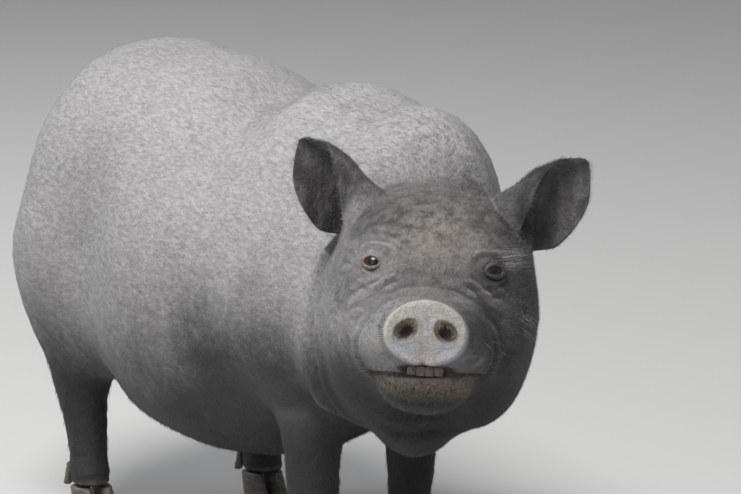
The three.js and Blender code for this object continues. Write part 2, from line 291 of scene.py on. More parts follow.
# %% Body
COARSE = 5 * MM
FINE = 2.3 * MM
body = copied("body", [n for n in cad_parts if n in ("trunk", "neck", "tail") or "leg_" in n
                       or n.startswith(("forefoot", "hindfoot"))], fatten=1.5 * MM)
applied(body, "REMESH", mode="VOXEL", voxel_size=COARSE)
p = points_of(body)
tail_low, tail_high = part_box("tail")
on_limb = 1 - ramp(p[:, 2], 0.10, 0.19)
on_tail = ramp(p[:, 1], tail_high[1] - 0.045, tail_high[1] - 0.025)
weighted(body, "bulk", 1 - 0.9 * np.maximum(on_limb, on_tail))
applied(body, "SMOOTH", factor=0.5, iterations=110, vertex_group="bulk")
print("body", faces_of(body), "triangles")

# %% Head
LIP_SIZE, LIP_AT = [35, 9.5, 7.5], [1, -163, -42.6]
LIP_BOW = 0.0060
head = copied("head_flesh", ["head", "snout", "lower_jaw"], fatten=0.5 * MM)
plugs = []
for side in (-1, 1):
    at = from_head(eye_place(side) + [-side * 1.5, 3.2, 0])
    bpy.ops.mesh.primitive_uv_sphere_add(segments=24, ring_count=12, radius=13 * MM, location=at)
    bpy.ops.object.transform_apply(location=True, rotation=True, scale=True)
    plugs.append(bpy.context.object)
bpy.ops.mesh.primitive_uv_sphere_add(segments=48, ring_count=24, radius=1)
lip = bpy.context.object
q = points_of(lip) * LIP_SIZE
q[:, 1] += LIP_BOW * q[:, 0] ** 2
q[:, 2] += MOUTH_SLOPE * q[:, 0]
put_points(lip, from_head(q + LIP_AT))
head = joined("head_flesh", [head, lip] + plugs)
applied(head, "REMESH", mode="VOXEL", voxel_size=FINE)
h = in_head(points_of(head))
near_hole = np.zeros(len(h))
for side in (-1, 1):
    away = np.linalg.norm((h - [side * NOSTRIL_X, -180, NOSTRIL_Z]) / [1, 1.4, 1.2], axis=1)
    near_hole = np.maximum(near_hole, 1 - ramp(away, 9, 17))
mouth_away = np.linalg.norm((h - [3, -168, -39]) / [36, 26, 16], axis=1)
near_hole = np.maximum(near_hole, 1 - ramp(mouth_away, 0.9, 1.5))
weighted(head, "soft", 1 - 0.85 * near_hole)
applied(head, "SMOOTH", factor=0.5, iterations=22, vertex_group="soft")
print("head", faces_of(head), "triangles")

# %% One skin
skin = joined("skin", [body, head])
applied(skin, "REMESH", mode="VOXEL", voxel_size=FINE)
h = in_head(points_of(skin))
weighted(skin, "junction", ramp(h[:, 1], -25, 10) * (1 - ramp(h[:, 1], 70, 120)))
applied(skin, "SMOOTH", factor=0.5, iterations=70, vertex_group="junction")
on_face = 1 - ramp(h[:, 1], -112, -100)
weighted(skin, "soften", 1 - 0.75 * on_face)
applied(skin, "SMOOTH", factor=0.5, iterations=8, vertex_group="soften")
skin.vertex_groups.clear()
print("skin", faces_of(skin), "triangles", len(skin.data.vertices), "points")

# %% [markdown]
# ## The hide, part two: folds pressed in
#
# A fat pig's hide is full of folds: bags under the eyes, a ring round the muzzle, creases where
# the cheek meets the neck. Each is a short path in the head's frame. The path is smoothed and
# laid on the skin, and every point near it sinks by a bell-shaped amount, while the hide beside it
# swells a little, as a real fold does. All folds are summed and moved once along the normals.

# %% Tracing a path on the skin
skin_points = points_of(skin)
skin_head = in_head(skin_points)
skin_tree = BVHTree.FromObject(skin, bpy.context.evaluated_depsgraph_get())
push = np.zeros(len(skin_points))


def smooth_path(path, step=3.0):
    """A curve through a few points, sampled about every step."""
    path = np.asarray(path, float)
    path = np.vstack([2 * path[0] - path[1], path, 2 * path[-1] - path[-2]])
    out = []
    for a, b, c, d in zip(path, path[1:], path[2:], path[3:]):
        count = max(2, int(np.linalg.norm(c - b) / step))
        for t in np.arange(count) / count:
            out.append(0.5 * (2 * b + (c - a) * t + (2 * a - 5 * b + 4 * c - d) * t ** 2
                              + (3 * b - a - 3 * c + d) * t ** 3))
    out.append(path[-2])
    return np.array(out)


def on_skin(path, local=True):
    curve = smooth_path(path)
    world = from_head(curve) if local else curve * MM
    return np.array([skin_tree.find_nearest(Vector(p))[0] for p in world])


def from_path(line, reach):
    """For points near a line of points: which they are, how far off and how far along it."""
    low, high = line.min(0) - reach, line.max(0) + reach
    near = np.flatnonzero(((skin_points > low) & (skin_points < high)).all(1))
    spot = skin_points[near]
    best = np.full(len(near), np.inf)
    along = np.zeros(len(near))
    for i, (a, b) in enumerate(zip(line, line[1:])):
        run = b - a
        t = np.clip((spot - a) @ run / max(run @ run, 1e-12), 0, 1)
        off = np.linalg.norm(spot - a - t[:, None] * run, axis=1)
        closer = off < best
        best[closer] = off[closer]
        along[closer] = (i + t[closer]) / (len(line) - 1)
    return near, best / MM, along


def fold(path, width, depth, swell=0.4, both=True, local=True, across=False):
    """Presses a fold, width and depth in millimetres. It is mirrored to the other side if both,
    or, if across, runs on over the middle line as one fold."""
    path = np.asarray(path, float)
    if across:
        path = np.vstack([path, (path * [-1, 1, 1])[-2::-1]])
    for side in ((1, -1) if both and not across else (1,)):
        line = on_skin(path * [side, 1, 1], local)
        near, off, along = from_path(line, 5 * width * MM)
        fade = np.sqrt(np.clip(np.sin(math.pi * along), 0, 1))
        dip = bell(off, width) - swell * bell(off - 2.3 * width, 1.1 * width)
        push[near] -= fade * depth * dip


# %% Folds of the face
fold([(-45, -126, -44), (-55, -116, -38), (-61, -126, -21), (-59, -133, -3), (-49, -133, 15),
      (-29, -130, 28), (0, -132, 33)], 4.2, 5.4, swell=0.5, across=True)
fold([(-38, -152, 22), (-20, -152, 33), (0, -153, 36)], 1.8, 1.1, swell=0.5, across=True)
fold([(-50, -140, -2), (-40, -143, 20), (-20, -143, 32), (0, -143, 36)], 2.2, 0.9, across=True)
fold([(-66, -104, -34), (-72, -106, -16), (-70, -110, 2), (-60, -116, 16)], 7.0, 2.6, swell=0.1)
fold([(-62, -118, -6), (-56, -124, 14), (-40, -122, 30), (-20, -116, 41), (0, -114, 44)], 3.6, 0.9)
fold([(-52, -111, 33), (-40, -112, 41), (-29, -114, 47)], 2.4, 4.0, swell=0.5)
fold([(-75, -95, 31), (-60, -104, 40), (-45, -109, 43)], 3.0, 2.4, swell=0.5)
fold([(-78, -100, 17), (-64, -111, 24), (-49, -114, 32), (-34, -118, 35)], 3.4, 2.1, swell=0.4)
fold([(-72, -112, 6), (-56, -123, 15), (-42, -128, 22)], 3.4, 0.7)
fold([(-70, -84, 62), (-60, -92, 71), (-46, -101, 72), (-36, -107, 62)], 3.0, 2.2, swell=0.4)
fold([(-70, -78, 77), (-52, -96, 84), (-33, -101, 86), (-20, -105, 79)], 5.0, 2.2, swell=0.4)
fold([(-50, -88, 94), (-34, -93, 96), (-18, -97, 92)], 5.0, 0.7)
fold([(-66, -88, 84), (-54, -95, 80), (-40, -101, 79), (-28, -104, 72)], 1.8, 1.2, swell=0.6)
fold([(-62, -88, 90), (-46, -95, 89), (-30, -99, 86)], 2.0, 0.9, swell=0.6)
fold([(-70, -100, 40), (-58, -106, 34), (-46, -110, 36)], 1.6, 1.1, swell=0.6)
fold([(-66, -96, 46), (-54, -103, 43)], 1.3, 0.8, swell=0.6)
fold([(-38, -108, 56), (-20, -112, 57), (0, -113, 54)], 5.5, 1.3, swell=0.3, across=True)
fold([(-74, -75, 58), (-82, -73, 40), (-86, -82, 20)], 4.0, 2.0)
fold([(-70, -80, 57), (-82, -68, 60), (-90, -54, 64)], 2.6, 0.8)
fold([(-70, -82, 51), (-82, -70, 50), (-90, -56, 50)], 2.6, 0.7)

# %% Folds of the mouth, chin and jowls
fold([(-44, -130, -52), (-30, -142, -61), (-14, -151, -66), (0, -154, -67)], 4.0, 2.2,
     across=True)
fold([(-38, -38, -92), (-15, -47, -97), (8, -43, -93), (28, -34, -87)], 5.0, 2.8, both=False)
fold([(-48, -100, -62), (-24, -98, -78), (0, -97, -80)], 5.0, 1.6, across=True)
fold([(-86, 30, 78), (-100, 26, 62), (-110, 22, 33), (-113, 19, 8), (-112, 18, -14),
      (-106, 20, -47), (-90, 31, -82), (-66, 40, -100)], 5.5, 8.5, swell=0.3, both=False)
fold([(-118, 52, 70), (-127, 50, 40), (-129, 48, 8), (-127, 50, -24), (-118, 60, -56)], 9.0, 4.0,
     swell=0.45, both=False)
fold([(98, 20, 60), (103, 18, 30), (104, 14, 0), (98, 10, -34)], 8.0, 2.6, both=False)

# %% Folds of the neck, shoulder and legs
fold([(45, 108, 471), (-18, 62, 463), (-59, 37, 448), (-84, 33, 431), (-111, 22, 405), (-124, 4, 375)],
     10, 7.5, swell=0.5, both=False, local=False)
fold([(-68, -92, 472), (-90, -100, 444), (-110, -110, 408), (-130, -125, 363), (-138, -132, 307)],
     9, 3.4, both=False, local=False)
fold([(-64, -160, 470), (-92, -170, 440), (-112, -180, 404)], 6, 2.4, both=False, local=False)
fold([(-60, -125, 200), (-85, -150, 204), (-104, -142, 203), (-111, -110, 199), (-99, -70, 192)], 4, 5.0,
     both=False, local=False)
for foot in ("forefoot_left", "forefoot_right", "hindfoot_left", "hindfoot_right"):
    low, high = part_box(foot)
    x, y = (low[0] + high[0]) / 2 / MM, (low[1] + high[1]) / 2 / MM
    for z, deep in ((36, 0.9), (61, 0.5), (101, 0.5)):
        ring = [(x + 40 * math.sin(a), y - 40 * math.cos(a), z + 3 * math.cos(2 * a))
                for a in np.linspace(-2.6, 2.6, 9)]
        fold(ring, 2.4, deep, swell=0.5, both=False, local=False)
print("folds reach", round(push.min(), 1), "to", round(push.max(), 1), "mm")

# %% [markdown]
# ## The snout disc
#
# The disc is a flat plate of gristle with a thin raised rim, a soft groove below its middle and
# two nostrils whose edges stand up. It faces along the head's -Y, so it is shaped in that frame by
# how far each point lies from the middle of an ellipse. The closed part of the mouth is pressed in
# as a level line from corner to corner, the whisker pads beside it swell, and the hide round each
# eyeball sinks, so that the lids can cover it later.

# %% Disc and rim
DISC_WIDE, DISC_HIGH = 37.5, 30.0
hx, hy, hz = skin_head.T


def disc_ring_of(spots):
    """0 at the middle of the disc, 1 on its rim."""
    return np.hypot(spots[:, 0] / DISC_WIDE, spots[:, 2] / DISC_HIGH)


disc_ring = disc_ring_of(skin_head)
at_front = 1 - ramp(hy, -172, -160)
push += at_front * 1.5 * bell(disc_ring - 0.94, 0.060)
push -= at_front * 0.9 * bell(disc_ring - 0.72, 0.16)
behind_rim = ramp(hy, -181, -175) * (1 - ramp(hy, -166, -158)) * (disc_ring < 1.5)
push -= 2.3 * behind_rim * bell(disc_ring - 1.09, 0.09)
push += 1.3 * (1 - ramp(hy, -150, -130)) * ramp(hz, 5, 20) * bell(disc_ring - 1.30, 0.10)
push -= at_front * 1.5 * bell(hx, 5) * ramp(-hz, 2, 16)
print("disc points", int((disc_ring < 1).sum()))


# %% Nostrils, mouth line, pads and eye hollows
def nostril_ring_of(spots):
    """1 on the edge of a nostril: two slanted ovals, their inner ends high."""
    x, z = np.abs(spots[:, 0]) - NOSTRIL_X, spots[:, 2] - NOSTRIL_Z
    tilt = math.radians(43)
    long_way = math.cos(tilt) * x - math.sin(tilt) * z
    short_way = math.sin(tilt) * x + math.cos(tilt) * z
    return np.hypot(long_way / 10.8, short_way / 6.9)


def mouth_line_of(spots):
    """1 along the closed part of the mouth, which runs level from corner to corner."""
    x, y, z = spots.T
    return (bell(z + 38.0 - MOUTH_SLOPE * x, 1.2) * (1 - ramp(np.abs(x + 2), 50, 60))
            * (1 - ramp(y, -118, -104)))


push -= 3.6 * mouth_line_of(skin_head)
nostril_ring = nostril_ring_of(skin_head)
push += at_front * 1.3 * bell(nostril_ring - 1.25, 0.22)
pads = np.linalg.norm(np.stack([np.abs(hx) - 50, hy + 132, hz + 20], 1) / [12, 18, 15], axis=1)
push += 2.6 * bell(pads, 1.0)
for side in (-1, 1):
    spot = skin_head - eye_place(side)
    ahead_of = spot @ sight_of(side)
    beside = np.linalg.norm(spot - ahead_of[:, None] * sight_of(side), axis=1)
    push -= 3.0 * bell(beside, 11.5) * (ahead_of > -6)
print("push reaches", round(push.min(), 1), "to", round(push.max(), 1), "mm")

# %% [markdown]
# ## Soft lumps, and moving the points
#
# Fat is never quite even, so a slow noise lifts and sinks the whole hide by a millimetre, and a
# finer one, stretched round the limbs, wrinkles the legs. Blender's own noise would need one call
# for each point. A sum of a few sine waves in seeded directions does the same job in one go.

# %% Noise from waves
def waves(points, size, seed, count=9, stretch=(1, 1, 1)):
    """Smooth noise between about -1 and 1, with lumps of that size in metres."""
    chance = np.random.default_rng(seed)
    total = np.zeros(len(points))
    for _ in range(count):
        heading = chance.normal(size=3)
        heading *= 2 * math.pi / size / np.linalg.norm(heading) * chance.uniform(0.7, 1.4)
        total += np.sin(points @ (heading * stretch) + chance.uniform(0, 2 * math.pi))
    return total / math.sqrt(count)


limb = 1 - ramp(skin_points[:, 2], 0.12, 0.20)
calm = ramp(skin_head[:, 1], -60, 60)
push += 0.9 * calm * waves(skin_points, 0.075, 3)
push += 0.35 * (0.3 + 0.7 * calm) * waves(skin_points, 0.022, 4)
push += 0.3 * limb * waves(skin_points, 0.020, 5, stretch=(0.5, 0.5, 1.4))
crest = bell(skin_points[:, 0] + 0.02, 0.09) * ramp(skin_points[:, 2], 0.40, 0.45)
crest *= 1 - ramp(skin_points[:, 1], -0.10, 0.02)
push += 0.25 * crest * waves(skin_points, 0.014, 6, stretch=(0.5, 1.7, 1))

# %% Move them
DEPTH_OF_COAT = 0.4
moved = skin_points + normals_of(skin) * (push - DEPTH_OF_COAT)[:, None] * MM
shift = np.zeros_like(skin_head)
for side in (-1, 1):
    beside, above = hx - side * NOSTRIL_X, hz - NOSTRIL_Z
    away = np.hypot(beside, above) + 1e-6
    widen = 1.7 * bell(nostril_ring - 0.95, 0.33) * (side * hx > 0) * (1 - ramp(hy, -172, -160))
    shift[:, 0] += widen * beside / away
    shift[:, 2] += widen * above / away
moved += shift @ TURN.T * MM
put_points(skin, moved)
soles = points_of(skin)[:, 2].min()
print("skin's lowest point", round(soles / MM, 1), "mm")

# %% [markdown]
# ## A lighter mesh where nothing happens
#
# The even mesh spends most of its points on the smooth flanks. Decimate merges points, and a
# weight for each point steers it: full on the trunk, little on the face.

# %% Decimate
TRIANGLE_LIMIT = 168000
with editing(skin):
    bpy.ops.mesh.quads_convert_to_tris(quad_method="BEAUTY", ngon_method="BEAUTY")
h = in_head(points_of(skin))
detail = 1 - ramp(h[:, 1], 10, 60)
detail = np.maximum(detail, (1 - ramp(points_of(skin)[:, 2], 0.11, 0.17)) * 0.4)
weighted(skin, "plain", 1 - 0.8 * detail)
applied(skin, "DECIMATE", decimate_type="COLLAPSE", ratio=TRIANGLE_LIMIT / faces_of(skin),
        vertex_group="plain", vertex_group_factor=1.0)
skin.vertex_groups.clear()
weighted(skin, "even", ramp(in_head(points_of(skin))[:, 1], -20, 50))
applied(skin, "SMOOTH", factor=0.5, iterations=4, vertex_group="even")
skin.vertex_groups.clear()
print("skin", faces_of(skin), "triangles")

# %% [markdown]
# ## Ears
#
# An ear is a leaf of gristle, rolled into a tube where it leaves the head and opening forward. It
# is thinner than two voxels, so a remesh would fray its edge. It starts as a flat grid instead,
# whose points are rolled into the same shape as the CAD ear, but with a rounded rim, low ribs
# inside and a round tip. A Boolean union then welds it to the skin, and the joint is smoothed.

# %% A smooth value along stations
def along(stations, values, x):
    slopes = np.gradient(np.asarray(values, float), np.asarray(stations, float))
    i = int(np.clip(np.searchsorted(stations, x, side="right") - 1, 0, len(stations) - 2))
    step = stations[i + 1] - stations[i]
    t = min(max((x - stations[i]) / step, 0), 1)
    bend = t * t * (3 - 2 * t)
    rise = step * (t * (1 - t) ** 2 * slopes[i] - t * t * (1 - t) * slopes[i + 1])
    return values[i] + (values[i + 1] - values[i]) * bend + rise


# %% Rolling a grid into an ear
EAR_LENGTH = 101.0
EAR_THICK = 4.3
EAR_DEEP = 0.72
EAR_OPENED = 0.86
EAR_ROWS, EAR_SIDES = 62, 112


def ear_frame(side):
    """Root, and the directions out along the ear, open to its hollow and down across it."""
    unit = lambda v: v / np.linalg.norm(v)
    out = unit(np.array([side * 0.89, 0.12, 0.42]))
    hollow = unit(np.array([side * 0.5, -0.86, -0.05]))
    across = unit(np.cross(out, hollow)) * side
    hollow = unit(np.cross(across, out) * side)
    return np.array([side * 70.0, -12.0, 108.0]), out, hollow, across


def out_along(side, spots):
    """How far out along an ear each spot lies, and whether it is on that ear."""
    root, out, hollow, across = ear_frame(side)
    spots = spots - root
    ours = (np.abs(spots @ across + 12) < 75) & (np.abs(spots @ hollow - 14) < 52)
    return spots @ out, ours & (side * (spots[:, 0] + root[0]) > 40)


def ear_point(side, t, turn):
    root, out, hollow, across = ear_frame(side)
    outer = turn < 0.5
    edge = -1 + 4 * turn if outer else 3 - 4 * turn
    upper = edge < 0
    rows = [0, 0.15, 0.3, 0.45, 0.6, 0.75, 0.9, 1]
    opened = EAR_OPENED if side > 0 else 1.0
    curl = math.radians(along(rows, [165, 165, 155, 140, 128, 105, 85, 50] if upper
                              else [80, 80, 70, 62, 57, 55, 50, 45], t)) * (opened if upper else 1)
    reach = along(rows, [98, 95, 76, 61, 45, 29, 15, 10] if upper
                  else [60, 62, 63, 63, 57, 48, 31, 14], t)
    reach *= opened if upper else 1
    reach *= math.sqrt(max(1 - max((t - 0.84) / 0.16, 0) ** 2.4, 0))
    twist = math.radians(along(rows, [60, 50, 38, 20, 8, 0, 0, 0], t)) * (1.35 * opened - 0.35)
    wall = math.sqrt(max(1 - abs(edge) ** 10, 0)) * (1 - 0.25 * t)
    wall *= 1 + 0.45 * math.exp(-((abs(edge) - 0.95) / 0.06) ** 2)
    if not outer:
        ribs = math.sin(9.5 * edge + 1.5 * t) * math.exp(-(edge / 0.75) ** 2)
        wall += 0.35 * ribs * min(t * 4, 1) * (1 - t)
    ripple = 1.3 * math.sin(6 * t + 2 * edge) * t * abs(edge) ** 2
    radius = reach / curl
    angle = edge * curl - twist
    radial = across * math.sin(angle) - hollow * EAR_DEEP * math.cos(angle)
    middle = (across * math.sin(twist) + hollow * EAR_DEEP * math.cos(twist)) * radius
    thick = (1 if outer else -1) * wall * EAR_THICK / 2 * math.sqrt(max(1 - t ** 14, 0))
    return (root + out * (EAR_LENGTH * t - 17) - across * (20 + 6 * t * t)
            + middle + radial * (radius + thick + ripple))


def rolled_grid(name, rows, sides, place):
    """A grid primitive whose points are put where place(row share, side share) says."""
    bpy.ops.object.select_all(action="DESELECT")
    bpy.ops.mesh.primitive_grid_add(x_subdivisions=sides, y_subdivisions=rows, size=1)
    grid = bpy.context.object
    grid.name = name
    grid.data.name = name
    flat = points_of(grid) + [0.5, 0.5, 0]
    put_points(grid, from_head([place(float(y), float(x)) for x, y, _ in flat]))
    with editing(grid):
        bpy.ops.mesh.remove_doubles(threshold=0.00002)
    return grid


def sealed(obj):
    """Fills open rims and turns every face outwards."""
    alone(obj)
    bpy.ops.object.mode_set(mode="EDIT")
    bpy.ops.mesh.select_all(action="DESELECT")
    bpy.ops.mesh.select_mode(type="EDGE")
    bpy.ops.mesh.select_non_manifold()
    bpy.ops.mesh.edge_face_add()
    bpy.ops.mesh.select_all(action="SELECT")
    bpy.ops.mesh.quads_convert_to_tris()
    bpy.ops.mesh.normals_make_consistent(inside=False)
    bpy.ops.object.mode_set(mode="OBJECT")
    return obj


# %% Weld both ears on
for side in (-1, 1):
    ear = rolled_grid("ear", EAR_ROWS, EAR_SIDES, lambda t, turn: ear_point(side, t, turn))
    sealed(ear)
    applied(skin, "BOOLEAN", operation="UNION", solver="MANIFOLD", object=ear)
    bpy.data.objects.remove(ear)
h = in_head(points_of(skin))
near_root = np.zeros(len(h))
for side in (-1, 1):
    reach_out, ours = out_along(side, h)
    near_root = np.maximum(near_root, ours * bell(reach_out - 4, 12))
weighted(skin, "root", near_root)
applied(skin, "SMOOTH", factor=0.5, iterations=24, vertex_group="root")
skin.vertex_groups.clear()
print("skin with ears", faces_of(skin), "triangles")

# %% [markdown]
# ## Eyes and lids
#
# A pig's eye is small, dark brown and glossy, and sits deep under a heavy brow. The eyeball is a
# sphere as big as the CAD one, with a clear bulge over the iris. The lids are a ring of skin that
# hugs it: a grid rolled round the line of sight, from the almond opening out to where it dives
# under the hide. More dips in the ring make the fold of the upper lid and the bags below, and
# the lower ones are uneven, as old lids are.

# %% Eyeballs
EYE_RADIUS = 12.4
IRIS_TURN = math.radians(9)


def sight(side):
    """Line of sight, up and towards the nose of an eye, in the head's frame."""
    ahead = sight_of(side)
    inward = np.cross(np.array([0, 0, 1.0]), ahead) * -side
    inward /= np.linalg.norm(inward)
    return ahead, np.cross(inward, ahead) * -side, inward


eyes = []
for side, name in ((-1, "right"), (1, "left")):
    ahead, up, inward = sight(side)
    bpy.ops.object.select_all(action="DESELECT")
    bpy.ops.mesh.primitive_uv_sphere_add(segments=64, ring_count=48, radius=1)
    eye = bpy.context.object
    eye.name = "eyeball_" + name
    q = points_of(eye)
    off_axis = np.arccos(np.clip(q[:, 2], -1, 1))
    radius = EYE_RADIUS + 0.9 * bell(off_axis, math.radians(30))
    from_iris = q - [math.sin(IRIS_TURN), 0, math.cos(IRIS_TURN)]
    iris_share = 1 - ramp(np.linalg.norm(from_iris, axis=1), 0.50, 0.57)
    pupil_ring = np.hypot(from_iris[:, 0] / 0.30, from_iris[:, 1] / 0.23)
    local = (q[:, [0]] * inward + q[:, [1]] * up + q[:, [2]] * ahead) * radius[:, None]
    put_points(eye, from_head(local + eye_place(side)))
    sealed(eye)
    painted(eye, "iris", iris_share)
    painted(eye, "pupil", (1 - ramp(pupil_ring, 0.92, 1.08)) * (q[:, 2] > 0))
    bpy.ops.object.shade_smooth()
    eyes.append(eye)
print("eyeballs", [faces_of(e) for e in eyes])

# %% Lids
OPEN_WIDE, OPEN_UP, OPEN_DOWN = 29.0, 16.0, 20.0
LID_ROWS, LID_SIDES = 44, 120


def lid_point(side, share, turn):
    ahead, up, inward = sight(side)
    angle = 2 * math.pi * turn
    c, s = math.cos(angle), math.sin(angle)
    height = OPEN_UP if s > 0 else OPEN_DOWN
    slant = 3.0 * c
    almond = 1 / math.sqrt((abs(c) / OPEN_WIDE) ** 2 + (abs(s) / height) ** 2)
    almond *= 1 + 0.10 * abs(c) ** 6
    wide = almond + (84 - almond) * share ** 1.1
    rim = math.exp(-((share - 0.10) / 0.09) ** 2)
    upper = max(s, 0) ** 0.7
    lower = max(-s, 0) ** 0.7
    lift = 0.35 + 1.75 * min(share / 0.08, 1) ** 0.5
    lift += 0.25 * rim
    lift -= upper * 2.0 * math.exp(-((share - 0.36) / 0.07) ** 2)
    lift += upper * 2.4 * math.exp(-((share - 0.56) / 0.16) ** 2)
    uneven = lower * (0.6 + 0.4 * math.sin(3.7 * angle + 0.8))
    lift -= uneven * 0.4 * math.exp(-((share - 0.34 - 0.05 * math.sin(2.3 * angle)) / 0.06) ** 2)
    lift += lower * 0.6 * math.exp(-((share - 0.50) / 0.14) ** 2)
    lift -= uneven * 0.8 * math.exp(-((share - 0.66 + 0.05 * math.sin(3.1 * angle)) / 0.05) ** 2)
    lift += 0.16 * math.sin(17 * angle) * math.sin(min(share * 5, 1) * math.pi / 2) * (1 - rim)
    lift -= 3.4 * max(share - 0.70, 0) / 0.30
    tilt = math.radians(wide)
    roll = angle + math.radians(slant)
    flat = math.sin(tilt)
    heading = (ahead * math.cos(tilt) + inward * flat * math.cos(roll)
               + up * flat * math.sin(roll))
    return eye_place(side) + heading * (EYE_RADIUS + lift)


lids = []
for side, name in ((-1, "right"), (1, "left")):
    lid = rolled_grid("lids_" + name, LID_ROWS, LID_SIDES,
                      lambda share, turn: lid_point(side, share, turn))
    applied(lid, "SOLIDIFY", thickness=0.5 * MM, offset=-1.0)
    away = in_head(points_of(lid)) - eye_place(side)
    ahead, up, inward = sight(side)
    off_axis = np.degrees(np.arccos(np.clip(away @ ahead / np.linalg.norm(away, axis=1), -1, 1)))
    turn = np.arctan2(away @ up, away @ inward)
    ring = np.hypot(np.cos(turn) / OPEN_WIDE, np.sin(turn) / np.where(turn > 0, OPEN_UP, OPEN_DOWN))
    painted(lid, "wet", 1 - ramp(off_axis * ring, 1.00, 1.09))
    painted(lid, "corner", bell(off_axis - 34, 10) * bell(np.abs(turn) - math.pi, 0.7))
    painted(lid, "pale", bell(off_axis * ring - 1.45, 0.20))
    # Painted shade in the crease above the upper lid.
    painted(lid, "crease", bell(off_axis * ring - 1.95, 0.22) * ramp(np.sin(turn), 0.05, 0.6))
    # The whole left lid is painted in shade.
    painted(lid, "shaded", np.full(len(away), side > 0))
    with editing(lid):
        bpy.ops.mesh.normals_make_consistent(inside=False)
    bpy.ops.object.shade_smooth()
    lids.append(lid)
print("lids", [faces_of(o) for o in lids])

# %% [markdown]
# ## Claws and teeth
#
# A claw is a horn wall that grows down from the skin in faint rings and wears flat below. Each CAD
# claw is copied, remeshed finely and smoothed, its rings are pressed in by height, and its sole is
# put back on the floor. Each incisor starts as a block, which is bevelled, rounded and thinned
# towards its edge. The outer two are a little shorter, and all four stand in one low gum.

# %% Claws
horn_nodes = [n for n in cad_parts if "claw" in n]
claws = copied("claws", horn_nodes)
applied(claws, "REMESH", mode="VOXEL", voxel_size=1.15 * MM)
applied(claws, "SMOOTH", factor=0.5, iterations=7)
q = points_of(claws)
n = normals_of(claws)
height = q[:, 2] / MM
rings = np.sin(height * 2 * math.pi / 3.1 + waves(q, 0.012, 8) * 1.2)
steep = 1 - np.abs(n[:, 2]) ** 2
q += n * (0.13 * rings * steep * ramp(height, 1, 4) + 0.25 * waves(q, 0.006, 9) * steep)[:, None] * MM
chips = np.clip(waves(q, 0.004, 12), 0, 1) * bell(height - 1.2, 1.6)
q -= n * (0.45 * chips * steep)[:, None] * MM
grounded = height < 1.6
q[grounded, 2] = 0.0
put_points(claws, q)
alone(claws)
bpy.ops.object.shade_smooth()
painted(claws, "height", height / 50)
print("claws", faces_of(claws), "triangles, lowest", round(float(q[:, 2].min()) / MM, 2), "mm")

# %% Incisors
TOOTH_STEP = 8.2
TOOTH_WIDE, TOOTH_THICK, TOOTH_TALL = 8.3, 3.8, 9.0


def incisor(place, tall):
    bpy.ops.object.select_all(action="DESELECT")
    bpy.ops.mesh.primitive_cube_add(size=1, scale=(TOOTH_WIDE * MM, TOOTH_THICK * MM, tall * MM))
    tooth = bpy.context.object
    bpy.ops.object.transform_apply(location=True, rotation=True, scale=True)
    with editing(tooth):
        bpy.ops.mesh.bevel(offset=0.9 * MM, segments=2, profile=0.6)
    applied(tooth, "SUBSURF", levels=2, render_levels=2)
    q = points_of(tooth) / MM
    up = q[:, 2] / tall + 0.5
    q[:, 0] *= 0.97 + 0.05 * up
    q[:, 1] = q[:, 1] * (1.05 - 0.45 * up) - 0.5 * up ** 2
    q[:, 1] -= 0.35 * bell(q[:, 0], 1.6) * up
    q[:, 2] -= 0.4 * up * np.sin(q[:, 0] * 1.1 + place[0])
    put_points(tooth, from_head(q + place))
    return tooth


teeth = []
for i in range(4):
    step = i - 1.5
    tall = TOOTH_TALL - 0.35 * step ** 2
    middle = [1.4 + step * TOOTH_STEP, -168.0 + 0.5 * step ** 2, -30.4 - tall / 2]
    teeth.append(incisor(np.array(middle), tall))
bpy.ops.object.select_all(action="DESELECT")
bpy.ops.mesh.primitive_cylinder_add(vertices=40, radius=19 * MM, depth=5 * MM)
gum = bpy.context.object
with editing(gum):
    bpy.ops.mesh.bevel(offset=1.8 * MM, segments=4)
q = points_of(gum) / MM
put_points(gum, from_head(q * [1, 0.55, 1] + [0, -154, -40.5]))
incisors = joined("incisors", teeth + [gum])
alone(incisors)
bpy.ops.object.shade_smooth()
h = in_head(points_of(incisors))
painted(incisors, "gum", 1 - ramp(h[:, 2], -40.6, -39.0))
print("incisors", faces_of(incisors), "triangles")

# %% [markdown]
# ## Marking the hide
#
# Colour follows the body: dust on the forehead, mud on the lips, a pale rim round the snout disc.
# Light and shade are painted in as well: the hollows of the ears, the nostrils and the mouth are
# painted dark as shade, and so are the jowls, chin, legs, belly and the left side of the face,
# region by region, while the top of the back and parts of the ears are painted lighter, as light.
# Each is painted on the skin as a soft value from 0 to 1, worked out from where a point lies, and
# the material mixes its colours by them. Hollows are found from the mesh itself: where the
# neighbours of a point stand above it, the hide is painted darker, as shade. From here on p, n
# and h hold the skin's points, its normals and its points in the head's frame.

# %% The skin's points once more
with editing(skin):
    bpy.ops.mesh.normals_make_consistent(inside=False)
bpy.ops.object.shade_smooth()
p = points_of(skin)
n = normals_of(skin)
h = in_head(p)
hx, hy, hz = h.T
n_head = n @ TURN
facing = ramp(-n_head[:, 1], 0.25, 0.60)
print("skin", len(p), "points,", int((facing > 0.5).sum()), "face forward")

# %% Hollows
edges = np.empty(len(skin.data.edges) * 2, np.int32)
skin.data.edges.foreach_get("vertices", edges)
edges = edges.reshape(-1, 2)


def hollow_at(points, normals, rounds):
    """How far the neighbours of each point stand above it, averaged over a few rounds."""
    run = points[edges[:, 1]] - points[edges[:, 0]]
    long = np.linalg.norm(run, axis=1) + 1e-9
    count = np.bincount(edges.ravel(), minlength=len(points))
    rise = np.bincount(edges[:, 0], (run * normals[edges[:, 0]]).sum(1) / long, len(points))
    rise -= np.bincount(edges[:, 1], (run * normals[edges[:, 1]]).sum(1) / long, len(points))
    value = rise / np.maximum(count, 1)
    for _ in range(rounds):
        total = np.bincount(edges[:, 0], value[edges[:, 1]], len(points))
        total += np.bincount(edges[:, 1], value[edges[:, 0]], len(points))
        value = (value + total / np.maximum(count, 1)) / 2
    return value


hollow = hollow_at(p, n, 3)
print("hollows reach", round(hollow.max(), 2))

